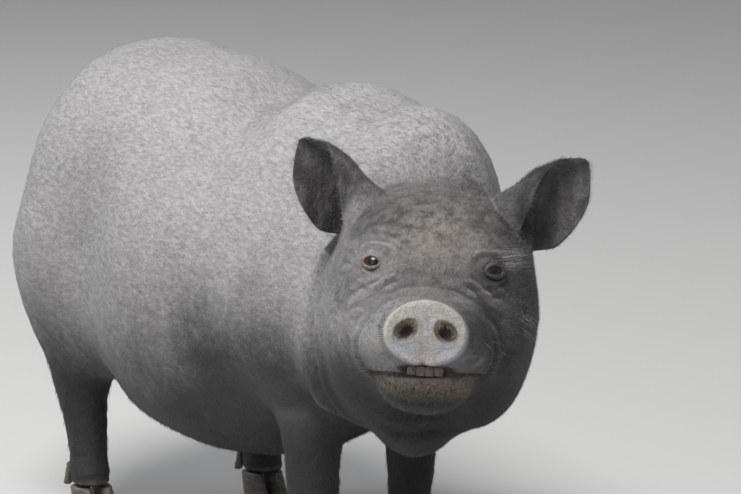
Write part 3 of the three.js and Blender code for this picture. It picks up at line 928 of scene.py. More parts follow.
# %% Snout, mouth and dust
def mouth_away_of(spots):
    """Below 1 inside the mouth's opening."""
    return np.linalg.norm((spots - [3, -172, -33]) / [29, 21, 6.8], axis=1)


disc_ring = disc_ring_of(h)
front = 1 - ramp(hy, -172, -162)
side_x = np.abs(hx)
nostril = nostril_ring_of(h)
mouth_away = mouth_away_of(h)
muzzle = 1 - ramp(hy, -125, -108)

# Hollows are painted dark, as the shade that falls in them.
painted(skin, "hollow", ramp(hollow, 0.03, 0.20))
painted(skin, "disc", front * facing * (1 - ramp(disc_ring, 0.98, 1.06)))
# The pads' pale grey fades out towards the pig's left, as painted shade.
painted(skin, "muzzle", (1 - ramp(hy, -156, -112)) * ramp(hz, -44, -34) * (1 - ramp(hz, 20, 46))
        * (1 - 0.8 * ramp(hx, -20, 45)))
# The pale rim is the disc's own; it is painted stronger towards the top and the pig's right, where the
# key lamp falls, as painted light.
painted(skin, "rim", front * ramp(-n_head[:, 1], 0.05, 0.35) * bell(disc_ring - 0.985, 0.035)
        * (0.25 + 0.75 * ramp(hz - 0.4 * hx, -22, 10)))
# The closed line of the mouth is painted dark, as shade in its crease.
painted(skin, "mouth_line", mouth_line_of(h) ** 0.6)
painted(skin, "around", np.arctan2(hx, hz) / (2 * math.pi) + 0.5)
painted(skin, "ribbed", bell(disc_ring - 1.10, 0.06) * (1 - ramp(hy, -140, -125)) * bell(hz + 3, 17))
painted(skin, "notch", front * bell(np.hypot((hx + 1.5) / 3.2, (hz + 27.5) / 3.0), 1.0))
# The nostrils, walls and all, are painted dark, as shade inside them.
painted(skin, "nostril", (1 - ramp(nostril, 0.80, 0.98)) * (1 - ramp(hy, -160, -150)))
painted(skin, "nostril_edge", front * bell(nostril - 1.12, 0.25))
painted(skin, "moist", front * bell(np.hypot((side_x - 21) / 12, (hz + 14) / 9), 1.0))
# The mouth's opening round the teeth is painted dark, as shade.
painted(skin, "mouth", (1 - ramp(mouth_away, 0.86, 1.04)) * (1 - ramp(hy, -150, -135)))
painted(skin, "mud", muzzle * bell(hz + 49, 9.5) * (1 - ramp(np.abs(hx - 3), 34, 52)))
painted(skin, "inner_lip", bell(hz + 40, 3.0) * (1 - ramp(np.abs(hx - 3), 16, 26))
        * (1 - ramp(hy, -152, -146)))
painted(skin, "dust", np.clip(bell(np.hypot(hx / 52, (hz - 92) / 34), 1.0) * (1 - ramp(hy, 10, 50))
                              + 0.9 * muzzle * bell(side_x - 46, 9) * bell(hz + 20, 11)
                              + 0.3 * muzzle * bell(side_x, 30) * bell(hz - 32, 14), 0, 1))
# Paler, pinkish skin round the eyes, weaker round the left eye, as painted shade.
painted(skin, "around_eye", np.maximum(*[
    (1 - 0.6 * (s > 0)) * bell(np.linalg.norm(h - [s * 52, -99, 58], axis=1), 17) for s in (-1, 1)]))
painted(skin, "sore", bell(np.linalg.norm(h - [-63, -94, 55], axis=1), 7))

# %% Insides and backs of the ears
ear_inner = np.zeros(len(h))
ear_back = np.zeros(len(h))
for side in (-1, 1):
    reach_out, ours = out_along(side, h)
    grown = ours * ramp(reach_out, 4, 18)
    inner = ramp(n_head @ ear_frame(side)[2], -0.15, 0.25)
    ear_inner = np.maximum(ear_inner, grown * inner)
    ear_back = np.maximum(ear_back, grown * (1 - inner))
# The inner faces of the ears are painted dark, as shade in their hollows; less so in the left ear.
painted(skin, "ear_inner", ear_inner * (1 - 0.38 * (hx > 0)))
painted(skin, "ridge", ramp(-hollow, 0.04, 0.20) * (1 - np.maximum(ear_inner, ear_back)))

# %% Painted shade
# Painted shade: the hide is painted dark where a low lamp would leave shade, round the left eye, behind
# the left ear, beside the muzzle, under the disc, on the jowls, chin, legs and belly, on the left cheek
# and on the bridge.
round_left_eye = 0.92 * bell(np.linalg.norm(h - [53, -98, 54], axis=1), 23)
behind_left_ear = 0.85 * ear_back * ramp(hx, 95, 110)
left_of_muzzle = 0.65 * muzzle * ramp(hx, 25, 50)
under_disc = 0.6 * front * bell(disc_ring - 1.0, 0.14) * ramp(-hz, 12, 22) * ramp(side_x, 6, 14)
jowls_and_chin = 0.93 * (1 - ramp(hz, -76, -34)) * (1 - ramp(hy, 10, 60))
legs_and_belly = 0.6 * (1 - ramp(p[:, 2], 0.10, 0.21))
left_cheek = 0.5 * ramp(hx, 60, 95) * (1 - ramp(hy, 0, 50)) * (hz < 60)
bridge = 0.25 * bell(np.hypot(hx / 42, (hz - 50) / 20), 1.0) * (1 - ramp(hy, -60, -30))
shaded = np.maximum.reduce([round_left_eye, behind_left_ear, left_of_muzzle, under_disc,
                            jowls_and_chin, legs_and_belly, left_cheek, bridge])
# The upper part of the left ear gets painted shade as well, and ear_lit paints light into the hollow of
# the left ear and onto a band of the right one.
upper_edge = ramp(n_head[:, 2], 0.08, 0.35)
shaded = np.maximum(shaded, 0.92 * ramp(hx, 66, 78) * ramp(hz, 92, 108)
                    * np.maximum(1 - ear_inner, upper_edge))
painted(skin, "shaded", shaded)
painted(skin, "ear_lit", ear_inner * np.where(hx > 0, 0.75 * (1 - upper_edge), 0.9 * bell(hx + 77, 9)))

# %% Silver, with painted light and shade
on_head = 1 - ramp(hy, -10, 60)
shoulder = 1 - ramp(p[:, 1], -0.06, 0.12)
# Silver is pale hair and dust together with painted light and shade: the trunk is painted paler high up
# and where it faces up, the head darker where it faces up and on its left side, and the hollow of the
# left ear paler.
trunk_silver_and_painted_light = ramp(p[:, 2] - 0.08 * shoulder, 0.07, 0.29) * (0.72 + 0.28 * ramp(n[:, 2], -0.5, 0.7))
head_silver_and_painted_shade = ramp(hz, -70, 10) * (0.66 - 0.42 * ramp(n[:, 2], 0.0, 0.8)) * (1 - 0.6 * ramp(hx, 20, 90))
silver_painted_light_and_shade = trunk_silver_and_painted_light * (1 - on_head) + head_silver_and_painted_shade * on_head
silver_painted_light_and_shade += 0.16 * bell(np.hypot((side_x - 50) / 20, (hz - 78) / 10), 1.0) * on_head
painted(skin, "silver_painted_light_and_shade", silver_painted_light_and_shade * (1 - ear_inner) * (1 - 0.5 * ear_back) + 0.35 * ear_inner * (hx > 0))
# The hide is painted darker towards the floor.
painted(skin, "low", 1 - ramp(p[:, 2], 0.03, 0.22))
print("values painted:", [a.name for a in skin.data.attributes if a.data_type == "FLOAT"])

# %% [markdown]
# ## Writing materials as sums
#
# A material is a sheet of small nodes. Here a socket is wrapped so that sums and products can be
# written as in Python, and each adds its Math node. Every other node comes from one method, which
# takes its type, its settings and the values or links of its sockets.

# %% A sheet of nodes
class Wire:
    """An output socket that can be added, multiplied or taken from one."""

    def __init__(self, sheet, socket):
        self.sheet = sheet
        self.socket = socket

    def _math(self, operation, first, second):
        return self.sheet.node("Math", {"operation": operation}, {0: first, 1: second})

    def __add__(self, other):
        return self._math("ADD", self, other)

    def __sub__(self, other):
        return self._math("SUBTRACT", self, other)

    def __rsub__(self, other):
        return self._math("SUBTRACT", other, self)

    def __mul__(self, other):
        return self._math("MULTIPLY", self, other)

    __radd__ = __add__
    __rmul__ = __mul__


class Sheet:
    """A material and its nodes."""

    def __init__(self, name):
        self.material = bpy.data.materials.new(name)
        self.material.use_nodes = True
        self.tree = self.material.node_tree
        self.shader = self.tree.nodes["Principled BSDF"]

    def node(self, kind, settings=None, inputs=None, output=0):
        made = self.tree.nodes.new("ShaderNode" + kind)
        for setting, value in (settings or {}).items():
            setattr(made, setting, value)
        for name, value in (inputs or {}).items():
            if isinstance(value, Wire):
                self.tree.links.new(value.socket, made.inputs[name])
            else:
                made.inputs[name].default_value = value
        return Wire(self, made.outputs[output])

    def place(self, stretch=(1, 1, 1), turn=(0, 0, 0)):
        coords = self.node("TexCoord", output="Object")
        return self.node("Mapping", {}, {"Vector": coords, "Scale": stretch, "Rotation": turn})

    def value(self, name):
        return self.node("Attribute", {"attribute_name": name}, output="Fac")

    def noise(self, size, detail=3.0, rough=0.55, stretch=(1, 1, 1), turn=(0, 0, 0)):
        """Noise whose lumps are about size metres across."""
        return self.node("TexNoise", {}, {"Vector": self.place(stretch, turn), "Scale": 1 / size,
                                          "Detail": detail, "Roughness": rough})

    def cells(self, size, stretch=(1, 1, 1), turn=(0, 0, 0)):
        """How far it is to the edge of a cell about size metres across."""
        return self.node("TexVoronoi", {"feature": "DISTANCE_TO_EDGE"},
                         {"Vector": self.place(stretch, turn), "Scale": 1 / size})

    def between(self, value, low, high):
        """0 at low, 1 at high, smooth between."""
        return self.node("MapRange", {"interpolation_type": "SMOOTHSTEP"},
                         {"Value": value, "From Min": low, "From Max": high})

    def mix(self, share, first, second):
        colours = [c if isinstance(c, Wire) else (*c, 1) for c in (first, second)]
        return self.node("Mix", {"data_type": "RGBA"},
                         {0: share, 6: colours[0], 7: colours[1]}, output=2)

    def layered(self, colour, *layers):
        """Lays more colours over one, each by its own share."""
        for share, paint in layers:
            colour = self.mix(share, colour, paint)
        return colour

    def bump(self, height, distance, below=None):
        inputs = {"Height": height, "Distance": distance, "Strength": 1.0}
        if below is not None:
            inputs["Normal"] = below
        return self.node("Bump", {}, inputs)

    def finish(self, **sockets):
        """Values and links of the shader's own sockets; _ stands for a space."""
        for name, value in sockets.items():
            socket = self.shader.inputs[name.replace("_", " ")]
            if isinstance(value, Wire):
                self.tree.links.new(value.socket, socket)
            else:
                socket.default_value = (*value, 1) if isinstance(value, tuple) else value
        return self.material


def dressed(pieces, finish):
    for piece in pieces:
        piece.data.materials.clear()
        piece.data.materials.append(finish)


# %% [markdown]
# ## The hide's finish
#
# Slate-grey hide is dry and matt, mottled at every scale, and crossed by fine lines like old
# leather. Broad noise and the painted light and shade shift it between dark and pale, fine noise
# gives the grain, and a cell pattern gives the lines. Over that lie the painted dust, mud and
# moisture and the painted shade, each as one more layer of colour with its own share. Beside the
# disc the hide has fine ribs, from a sine of the angle round the disc. The same lines, ribs and
# grain, fed to Bump, catch the light.

# %% Colours of the hide
SLATE_DARK = (0.019, 0.0185, 0.020)
SLATE = (0.105, 0.103, 0.107)
SLATE_PALE = (0.445, 0.438, 0.443)
DARK_TOWARD_FLOOR = (0.032, 0.029, 0.027)
HOLLOW_SHADE = (0.045, 0.041, 0.040)
DUST = (0.255, 0.224, 0.195)
MUD = (0.265, 0.200, 0.130)
ROUND_EYE = (0.21, 0.185, 0.185)
SORE = (0.22, 0.10, 0.085)
EAR_HOLLOW_SHADE_DARK, EAR_HOLLOW_SHADE_SOFT = (0.028, 0.026, 0.027), (0.100, 0.095, 0.096)
LIT_EAR_DARK, LIT_EAR_SOFT = (0.085, 0.082, 0.084), (0.165, 0.158, 0.160)

# %% Colours of the snout
MUZZLE = (0.262, 0.262, 0.272)
DISC, DISC_DUSTY = (0.40, 0.394, 0.396), (0.33, 0.288, 0.235)
DISC_GRIME, DISC_PALE = (0.20, 0.185, 0.175), (0.50, 0.49, 0.48)
DISC_RIM = (0.56, 0.53, 0.47)
MOIST, SPECK = (0.34, 0.38, 0.47), (0.05, 0.045, 0.045)
NOSTRIL_EDGE, NOSTRIL_SHADE = (0.17, 0.125, 0.072), (0.060, 0.050, 0.045)
INNER_LIP = (0.24, 0.175, 0.155)
MOUTH_SHADE = (0.028, 0.015, 0.013)
NOTCH = (0.16, 0.065, 0.035)

# %% Noises of the hide
RIBS_IN_A_TURN = 120
hide = Sheet("slate_hide")
broad = hide.noise(0.11, 3)
mottle = hide.noise(0.011, 5, 0.7)
grain = hide.noise(0.0016, 3, 0.6)
lines = hide.between(hide.cells(0.0030, (1, 1, 0.62), (0.3, 0.2, 0.4)), 0.0, 0.30)
fine_lines = hide.noise(0.0030, 4, 0.65, (1, 0.25, 0.8), (0.35, 0, 0))
pores = hide.noise(0.0022, 3, 0.7)
follicles = hide.between(hide.noise(0.0021, 3, 0.6), 0.57, 0.64)
specks = hide.between(hide.noise(0.0016, 3, 0.6), 0.60, 0.66)
ear_ribs = hide.between(hide.noise(0.010, 3, 0.6, (1, 1, 0.3)), 0.40, 0.72)
turned = hide.value("around") * (2 * math.pi * RIBS_IN_A_TURN) + mottle * 2
ribs = hide.node("Math", {"operation": "SINE"}, {0: turned})

# %% Slate, dust and mud
# lit is the silver value, painted light and shade included, and it sets how pale the hide's grey is.
lit = hide.value("silver_painted_light_and_shade")
tone_painted_light_and_shade = hide.between(broad * 0.5 + mottle * 0.3 + lit * 0.50, 0.30, 0.80)
silvery_and_painted_light = hide.between(broad * 0.35 + mottle * 0.35 + grain * 0.3 + lit * 0.55, 0.58, 1.10)
muzzle_patches = hide.between(hide.noise(0.0045, 4, 0.7), 0.30, 0.58)
dusty = hide.value("dust") * hide.between(mottle * 0.7 + broad * 0.3, 0.38, 0.62)
muddy = hide.value("mud") * hide.between(hide.noise(0.0028, 4, 0.7), 0.36, 0.66)
colour = hide.layered(
    hide.mix(tone_painted_light_and_shade, SLATE_DARK, SLATE),
    (silvery_and_painted_light * 0.80, SLATE_PALE),
    ((1 - lines) * 0.10, SLATE_DARK),
    (hide.between(fine_lines, 0.35, 0.65) * 0.30, SLATE_DARK),
    # Darker towards the floor.
    (hide.value("low") * 0.35, DARK_TOWARD_FLOOR),
    (hide.value("around_eye") * 0.35, ROUND_EYE),
    (hide.value("muzzle") * muzzle_patches * 0.75, MUZZLE),
    (hide.value("ribbed") * hide.between(ribs, 0.2, 0.9) * 0.5, SLATE_DARK),
    (hide.value("muzzle") * follicles * 0.55, SLATE_DARK),
    (hide.value("sore") * 0.45, SORE),
    # Painted shade, from the regions above.
    (hide.value("shaded"), SLATE_DARK),
    (dusty * 0.75, DUST),
    (muddy * 0.80, MUD),
    # Painted shade in the hollows.
    (hide.value("hollow") * 0.65, HOLLOW_SHADE),
    (hide.value("ridge") * 0.30, SLATE_PALE),
    # Painted shade in the ears' hollows, then painted light over parts of them.
    (hide.value("ear_inner"), hide.mix(ear_ribs, EAR_HOLLOW_SHADE_DARK, EAR_HOLLOW_SHADE_SOFT)),
    (hide.value("ear_lit"), hide.mix(ear_ribs, LIT_EAR_DARK, LIT_EAR_SOFT)),
    (hide.value("ear_inner") * hide.value("shaded"), SLATE_DARK))

# %% Disc, nostrils and mouth
disc_colour = hide.layered(
    DISC,
    (hide.between(mottle, 0.34, 0.66) * 0.65, DISC_DUSTY),
    (hide.between(hide.noise(0.0034, 4, 0.7), 0.44, 0.66) * 0.55, DISC_GRIME),
    (hide.between(hide.noise(0.0060, 3, 0.6), 0.52, 0.72) * 0.5, DISC_PALE))
colour = hide.layered(
    colour,
    (hide.value("disc") * 0.92, disc_colour),
    (hide.value("moist") * 0.75, MOIST),
    (hide.value("moist") * specks * 0.8, SPECK),
    (hide.value("nostril_edge") * hide.between(mottle, 0.3, 0.6) * 0.6, NOSTRIL_EDGE),
    (hide.value("rim") * 0.60, DISC_RIM),
    (hide.value("inner_lip") * 0.8, INNER_LIP),
    (hide.value("notch") * 0.85, NOTCH),
    # Painted shade along the mouth line and in the mouth.
    (hide.value("mouth_line") * 0.85, MOUTH_SHADE),
    (hide.value("mouth"), MOUTH_SHADE),
    # Painted shade in the nostrils.
    (hide.value("nostril"), NOSTRIL_SHADE))

# %% Gloss and relief of the hide
wet = hide.value("moist") * 0.75 + hide.value("mouth") * 0.8
roughness = hide.between(grain + mottle * 0.5, 0.3, 1.2) * 0.22 + 0.56 - wet * 0.34
normal = hide.bump(mottle, 0.0016)
normal = hide.bump(lines * 0.35 + pores, 0.00035, normal)
normal = hide.bump(fine_lines + grain * 0.6, 0.00045, normal)
normal = hide.bump(ribs * hide.value("ribbed"), 0.0008, normal)
normal = hide.bump(pores * (hide.value("disc") + hide.value("muzzle") * 1.6), 0.0006, normal)
dressed([skin], hide.finish(Base_Color=colour, Roughness=roughness, Normal=normal,
                            Specular_IOR_Level=0.36))
print("hide has", len(hide.tree.nodes), "nodes")

# %% Lids, the same hide with a moist pink edge
lid_sheet = Sheet("lid_hide")
mottle = lid_sheet.noise(0.004, 4, 0.65)
in_shade = lid_sheet.value("shaded")
colour = lid_sheet.layered(
    lid_sheet.mix(lid_sheet.between(mottle, 0.3, 0.7), (0.085, 0.081, 0.084), (0.200, 0.190, 0.194)),
    (lid_sheet.value("pale") * 0.30, (0.25, 0.185, 0.185)),
    # Painted shade in the crease above the lid, then over the whole left lid.
    (lid_sheet.value("crease") * 0.7, (0.030, 0.028, 0.030)),
    (in_shade * 0.85, SLATE_DARK),
    (lid_sheet.value("wet") * (0.8 - in_shade * 0.5), (0.075, 0.045, 0.040)),
    (lid_sheet.value("corner") * (0.6 - in_shade * 0.4), (0.13, 0.048, 0.032)))
dressed(lids, lid_sheet.finish(
    Base_Color=colour, Roughness=0.55 - lid_sheet.value("wet") * 0.3,
    Normal=lid_sheet.bump(mottle + lid_sheet.noise(0.0012, 2) * 0.5, 0.0007)))

# %% Eyes
eye_sheet = Sheet("wet_eye")
spokes = eye_sheet.noise(0.0012, 3, 0.6)
colour = eye_sheet.layered(
    (0.085, 0.034, 0.026),
    (eye_sheet.value("iris"), eye_sheet.mix(spokes, (0.040, 0.018, 0.009), (0.014, 0.007, 0.004))),
    (eye_sheet.value("pupil"), (0.003, 0.003, 0.004)))
dressed(eyes, eye_sheet.finish(Base_Color=colour, Roughness=0.25, Coat_Weight=0.22,
                               Coat_Roughness=0.12, Specular_IOR_Level=0.5))

# %% Horn
horn = Sheet("horn")
streaks = horn.noise(0.0022, 4, 0.6, (1, 1, 0.12))
bands = horn.noise(0.0040, 3, 0.5, (0.3, 0.3, 1))
colour = horn.layered(
    (0.050, 0.042, 0.036),
    (horn.between(streaks, 0.3, 0.7), (0.120, 0.102, 0.085)),
    (horn.between(bands, 0.45, 0.7) * 0.5, (0.19, 0.165, 0.135)),
    ((1 - horn.between(horn.value("height"), 0.0, 0.16)) * 0.6, (0.215, 0.185, 0.150)))
dressed([claws], horn.finish(
    Base_Color=colour, Roughness=horn.between(streaks, 0.2, 0.8) * 0.2 + 0.42,
    Normal=horn.bump(streaks + bands * 0.6, 0.00035)))

# %% Worn teeth
ivory = Sheet("worn_ivory")
stain = ivory.noise(0.0035, 4, 0.65, (1, 1, 0.5))
colour = ivory.layered(
    (0.19, 0.160, 0.148),
    (ivory.between(stain, 0.35, 0.7), (0.085, 0.066, 0.055)),
    (ivory.value("gum"), (0.20, 0.085, 0.070)))
dressed([incisors], ivory.finish(Base_Color=colour, Roughness=0.36,
                                 Normal=ivory.bump(ivory.noise(0.0009, 3), 0.00015)))

# %% Floor
dressed([floor], Sheet("pale_floor").finish(Base_Color=(0.52, 0.52, 0.515), Roughness=0.85))

# %% [markdown]
# ## The coat
#
# A pig's coat is thin: stiff bristles that lie back along the body, a longer crest down the neck,
# fine stubble on the face, pale hairs at the brow and cheeks and straw-coloured ones in the
# nostrils. Each bristle is a three-sided spike in two lengths, bent towards the hide, and takes its
# grey from the hide at its root, painted light and shade included. All are worked out together as
# arrays. Where they stand is drawn by chance, weighted by how dense each region is, and seeded so
# that the coat is the same each time. Each takes the place of its root on the unwrapped hide as its
# own patch.

# %% Unwrap the hide
with editing(skin):
    bpy.ops.mesh.quads_convert_to_tris()
    skin.data.uv_layers.new(name="OFBake")
    bpy.ops.uv.smart_project(angle_limit=math.radians(66), island_margin=0.002)
corners = np.empty(len(skin.data.loops), np.int32)
skin.data.loops.foreach_get("vertex_index", corners)
corners = corners.reshape(-1, 3)
corner_uv = np.empty(len(skin.data.loops) * 2, np.float32)
skin.data.uv_layers["OFBake"].uv.foreach_get("vector", corner_uv)
corner_uv = corner_uv.reshape(-1, 3, 2).astype(float)
p, n = points_of(skin), normals_of(skin)
h = in_head(p)
hx, hy, hz = h.T
face_area = np.linalg.norm(np.cross(p[corners[:, 1]] - p[corners[:, 0]],
                                    p[corners[:, 2]] - p[corners[:, 0]]), axis=1) / 2
print("hide", round(face_area.sum(), 3), "square metres,", len(corners), "triangles")


# %% Where the coat lies
def toward(vectors):
    """Directions laid flat on the hide."""
    flat = vectors - (vectors * n).sum(1)[:, None] * n
    return flat / np.maximum(np.linalg.norm(flat, axis=1), 1e-6)[:, None]


is_head = 1 - ramp(hy, 0, 70)
is_limb = 1 - ramp(p[:, 2], 0.13, 0.21)
is_tail = ramp(p[:, 1], tail_high[1] - 0.042, tail_high[1] - 0.030) * bell(p[:, 0] - 0.015, 0.045)
is_ear = np.maximum(ear_inner, ear_back)
sideways = np.sign(p[:, 0]) * bell(p[:, 0], 0.1)
on_body = np.stack([0.35 * sideways, np.ones(len(p)), -0.45 - 0 * sideways], 1)
back_of_head = np.stack([0.35 * np.sign(hx), np.ones(len(p)), 0.30 * np.sign(hz - 10)], 1) @ TURN.T
down = np.array([0, 0.12, -1.0]) + 0 * p
out_along_ear = np.zeros((len(p), 3))
for side in (-1, 1):
    _, out, _, across = ear_frame(side)
    out_along_ear[side * hx > 0] = (out - 0.1 * across) @ TURN.T
lie = on_body
for share, way in ((is_head, back_of_head), (is_limb, down), (is_tail, down), (is_ear, out_along_ear)):
    lie = lie * (1 - share)[:, None] + way * share[:, None]
lie = toward(lie)

# %% Roots
def roots_of(density, count, chance):
    """The triangles that bristles stand on, drawn by area and density, and where in each."""
    weight = face_area * np.broadcast_to(density, len(p))[corners].mean(1)
    face = chance.choice(len(corners), count, p=weight / weight.sum())
    a, b = np.sort(chance.random((2, count)), axis=0)
    return face, np.stack([a, b - a, 1 - b], 1)


def number_at(values, face, share):
    """A number of the hide at each root, from one value or one for each point."""
    return (share * np.broadcast_to(values, len(p))[corners[face]]).sum(1)


def vector_at(values, face, share):
    return (share[..., None] * values[corners[face]]).sum(1)


# %% Spikes
SUNK = 0.6 * MM
TAPER = 0.78
PATCH_HALF = 0.0015
SIDES = [(k, (k + 1) % 3) for k in range(3)]
SPIKE = np.array([(2, 1, 0)] + [
    t for i, j in SIDES for t in ((i, j, j + 3), (i, j + 3, i + 3), (i + 3, j + 3, 6))])
PATCH = np.array([(-1, -1), (0, -0.7), (1, -1), (-0.8, 0.1), (0, 0.4), (0.8, 0.1), (0.05, 1)])


def spikes(root, up, back, length, rise, bend, radius):
    """Seven points for each bristle: a ring of three at its root and its middle, and its tip."""
    first = back * np.cos(rise)[:, None] + up * np.sin(rise)[:, None]
    second = back * np.cos(rise * bend)[:, None] + up * np.sin(rise * bend)[:, None]
    across = np.cross(up, back)
    middle = root + first * (length * 0.5)[:, None]
    tip = middle + second * (length * 0.5)[:, None]
    points = []
    for place, way, size in ((root - up * SUNK, first, 1.0), (middle, first, TAPER)):
        beside = np.cross(way, across)
        for k in range(3):
            turn = 2 * math.pi * k / 3 + math.pi / 2
            points.append(place + (across * math.cos(turn) + beside * math.sin(turn))
                          * (radius * size)[:, None])
    return np.stack(points + [tip], 1)


def spike_mesh(name, spots, uv):
    """One mesh of spikes. On the OFBake map each has a small patch at its root's place."""
    count = len(spots)
    faces = (SPIKE[None] + 7 * np.arange(count)[:, None, None]).reshape(-1, 3)
    edge = PATCH_HALF + 0.1 * MM
    spread = np.clip(uv, edge, 1 - edge)[:, None] + PATCH[None] * PATCH_HALF
    mesh = bpy.data.meshes.new(name)
    mesh.vertices.add(7 * count)
    mesh.vertices.foreach_set("co", spots.astype(np.float32).ravel())
    mesh.loops.add(faces.size)
    mesh.loops.foreach_set("vertex_index", faces.astype(np.int32).ravel())
    mesh.polygons.add(len(faces))
    mesh.polygons.foreach_set("loop_start", np.arange(0, faces.size, 3, dtype=np.int32))
    mesh.update(calc_edges=True)
    layer = mesh.uv_layers.new(name="OFBake")
    layer.uv.foreach_set("vector", spread.reshape(-1, 2)[faces.ravel()].astype(np.float32).ravel())
    coat = bpy.data.objects.new(name, mesh)
    scene.collection.objects.link(coat)
    return coat


# %% Bristles
def bristles(name, density, count, long, lift, wide, silver_painted_light_and_shade, seed, bend=0.45, way=None, warm=0.0):
    """One mesh of bristles. Each of density, long, lift and silver is one value for the whole
    hide or an array with one for each of its points; long and wide are in millimetres."""
    chance = np.random.default_rng(seed)
    at = roots_of(density, count, chance)
    root, up, back = vector_at(p, *at), vector_at(n, *at), vector_at(lie, *at)
    if way is not None:
        mirrored = np.sign(vector_at(h, *at)[:, :1]) * [1, 0, 0] + [0, 1, 1]
        back = (mirrored * way) @ TURN.T
    length = number_at(long, *at) * MM
    length *= chance.uniform(0.65, 1.3, count)
    rise = np.radians(number_at(lift, *at))
    rise *= chance.uniform(0.6, 1.4, count)
    up /= np.linalg.norm(up, axis=1)[:, None]
    back += np.cross(up, back) * chance.normal(0, 0.22, count)[:, None]
    back -= (back * up).sum(1)[:, None] * up
    back /= np.maximum(np.linalg.norm(back, axis=1), 1e-6)[:, None]
    radius = wide * MM / 2 * chance.uniform(0.8, 1.2, count)
    uv = (at[1][..., None] * corner_uv[at[0]]).sum(1)
    coat = spike_mesh(name, spikes(root, up, back, length, rise, bend, radius), uv)
    # Each bristle's grey comes from the hide's values at its root, painted light and shade included.
    tone_painted_light_and_shade = np.clip(number_at(silver_painted_light_and_shade, *at) + chance.normal(0, 0.06, count), 0, 1)
    painted(coat, "tone_painted_light_and_shade", np.repeat(tone_painted_light_and_shade, 7))
    painted(coat, "warm", np.full(7 * count, warm))
    alone(coat)
    bpy.ops.object.shade_smooth()
    print(name, count, "bristles,", faces_of(coat), "triangles")
    return coat


# %% Planting each region
bare = np.maximum.reduce([(1 - ramp(disc_ring_of(h), 1.0, 1.12)) * (1 - ramp(hy, -172, -160)),
                          (1 - ramp(mouth_away_of(h), 1.0, 1.2)),
                          bell(np.linalg.norm(np.abs(h * [1, 0, 0]) + h * [0, 1, 1]
                                              - [52, -99, 58], axis=1), 12)])
haired = np.clip(1 - bare, 0, 1) * ramp(p[:, 2], 0.032, 0.045)
on_trunk = haired * (1 - is_head) * (1 - is_limb) * (1 - is_tail) * (1 - is_ear)
belly_bare = 0.35 + 0.65 * ramp(n[:, 2], -0.7, 0.1)
third = [ramp(p[:, 1], low, low + 0.03) * (1 - ramp(p[:, 1], high, high + 0.03))
         for low, high in ((-0.6, 0.02), (0.02, 0.24), (0.24, 0.6))]
spine = bell(p[:, 0] + 0.02, 0.035) * ramp(n[:, 2], 0.3, 0.8)
neck_crest = spine * (1 - ramp(p[:, 1], 0.02, 0.16)) * (1 - is_ear) * ramp(hy, -30, 20)
trunk_long = 6.0 + 1.5 * ramp(n[:, 2], 0.0, 0.9)
muzzle_near = 1 - ramp(hy, -130, -60)
# Bristles are painted paler high on the body, as light, and darker in the painted shade; on the face
# they are also darker where it faces up, as painted shade.
silvered_painted_light_and_shade = (0.18 + 0.58 * ramp(p[:, 2] - 0.08 * shoulder, 0.08, 0.28)) * (1 - shaded)
face_silvered_and_painted_shade = (0.08 + 0.50 * ramp(hz, -60, 10)) * (1 - shaded) * (1 - 0.5 * ramp(n[:, 2], 0.1, 0.8))
FULL_PIECE = 19500
coats = [
    bristles("bristles_" + name, on_trunk * belly_bare * share, FULL_PIECE, trunk_long, lift, 0.17,
             silvered_painted_light_and_shade, seed)
    for name, share, lift, seed in (("shoulder", third[0], 9, 21), ("barrel", third[1], 8, 22),
                                    ("rump", third[2], 8, 23))]
coats += [
    bristles("bristles_head", haired * is_head * (1 - is_ear) * (1 - 0.3 * muzzle_near), FULL_PIECE,
             5.5 - 2.4 * muzzle_near, 18, 0.21, face_silvered_and_painted_shade, 24),
    bristles("bristles_legs", haired * np.maximum(is_limb, is_tail), 9000,
             8 - 2.5 * (1 - ramp(p[:, 2], 0.03, 0.10)), 15, 0.27, 0.07, 25),
    bristles("bristles_ears", haired * is_ear, 7000, 5.5, 24, 0.20, 0.30 * (1 - shaded), 26),
    bristles("bristles_crest", haired * (neck_crest + 0.4 * spine), 3400,
             7.5 + 4 * neck_crest, 14 + 8 * neck_crest, 0.25, 0.7, 27),
]

# %% Long hairs: brows, whiskers, chin, nostrils and tail
def spot_on(x, y, z, size, both=True):
    away = np.stack([np.abs(hx) if both else hx, hy, hz], 1) - [x, y, z]
    return bell(np.linalg.norm(away, axis=1), size)


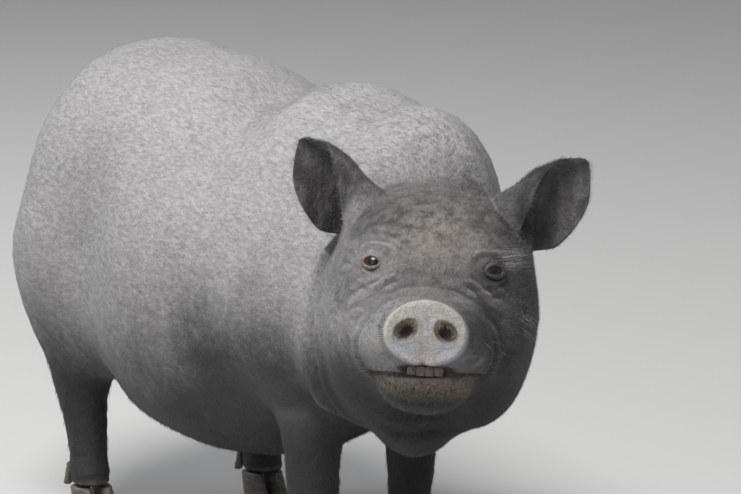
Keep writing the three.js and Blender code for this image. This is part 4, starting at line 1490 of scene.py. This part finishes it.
over_nostril = (bell(nostril_ring_of(h) - 0.98, 0.10) * ramp(hz + 0.6 * (side_x - 18), -2, 3)
                * (1 - ramp(hy, -176, -170)))
tail_end = is_tail * (1 - ramp(p[:, 2], tail_low[2] + 0.02, tail_low[2] + 0.06))
long_hairs = [
    bristles("brow_hairs", spot_on(60, -90, 70, 8, both=False), 45, 28, 30, 0.18, 0.9, 31, bend=0.8,
             way=(1, -0.1, 0.15)),
    bristles("cheek_whiskers", spot_on(78, -84, 18, 16), 22, 24, 30, 0.14, 1.0, 32, bend=0.9,
             way=(1, -0.2, -0.2)),
    bristles("lip_whiskers", spot_on(48, -130, -20, 16), 44, 13, 45, 0.15, 0.8, 33, bend=0.9,
             way=(1, -0.3, -0.3)),
    bristles("chin_bristles", spot_on(0, -148, -60, 26, both=False), 420, 6.5, 35, 0.22, 0.28, 34,
             bend=0.9, way=(0.1, -0.3, -1)),
    bristles("nostril_hairs", over_nostril, 300, 5.2, 58, 0.24, 0.8, 35, bend=1.0,
             way=(0.3, -0.5, -1), warm=0.85),
    bristles("tail_tuft", tail_end, 900, 34, 6, 0.30, 0.15, 36),
]
coats.append(joined("long_hairs", long_hairs))

# %% Hair
hair = Sheet("bristle")
# The grey of each bristle carries the painted light and shade of the hide at its root.
colour = hair.layered(
    (0.024, 0.023, 0.024),
    (hair.value("tone_painted_light_and_shade"), (0.47, 0.465, 0.472)),
    (hair.value("warm"), (0.40, 0.34, 0.19)),
    (hair.noise(0.003, 2) * 0.12, (0.10, 0.085, 0.07)))
dressed(coats, hair.finish(Base_Color=colour, Roughness=0.42, Specular_IOR_Level=0.45))
print("coat", sum(faces_of(c) for c in coats), "triangles in", len(coats), "pieces")

# %% [markdown]
# ## Who stands for what
#
# Each piece rides on the body, and the CAD solids that it covers are hidden.

# %% Hand over
FLESH = [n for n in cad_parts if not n.startswith(("eye_", "claw_", "dewclaw_")) and n != "teeth"]
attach(skin, "root")
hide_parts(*FLESH)
for name, eye, lid in zip(("right", "left"), eyes, lids):
    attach(eye, "root")
    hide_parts("eye_" + name)
    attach(lid, "root")
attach(claws, "root")
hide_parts(*horn_nodes)
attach(incisors, "root")
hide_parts("teeth")
for coat in coats:
    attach(coat, "root")
    "dark_hide" if "ear" in coat.name or "leg" in coat.name else "hide"
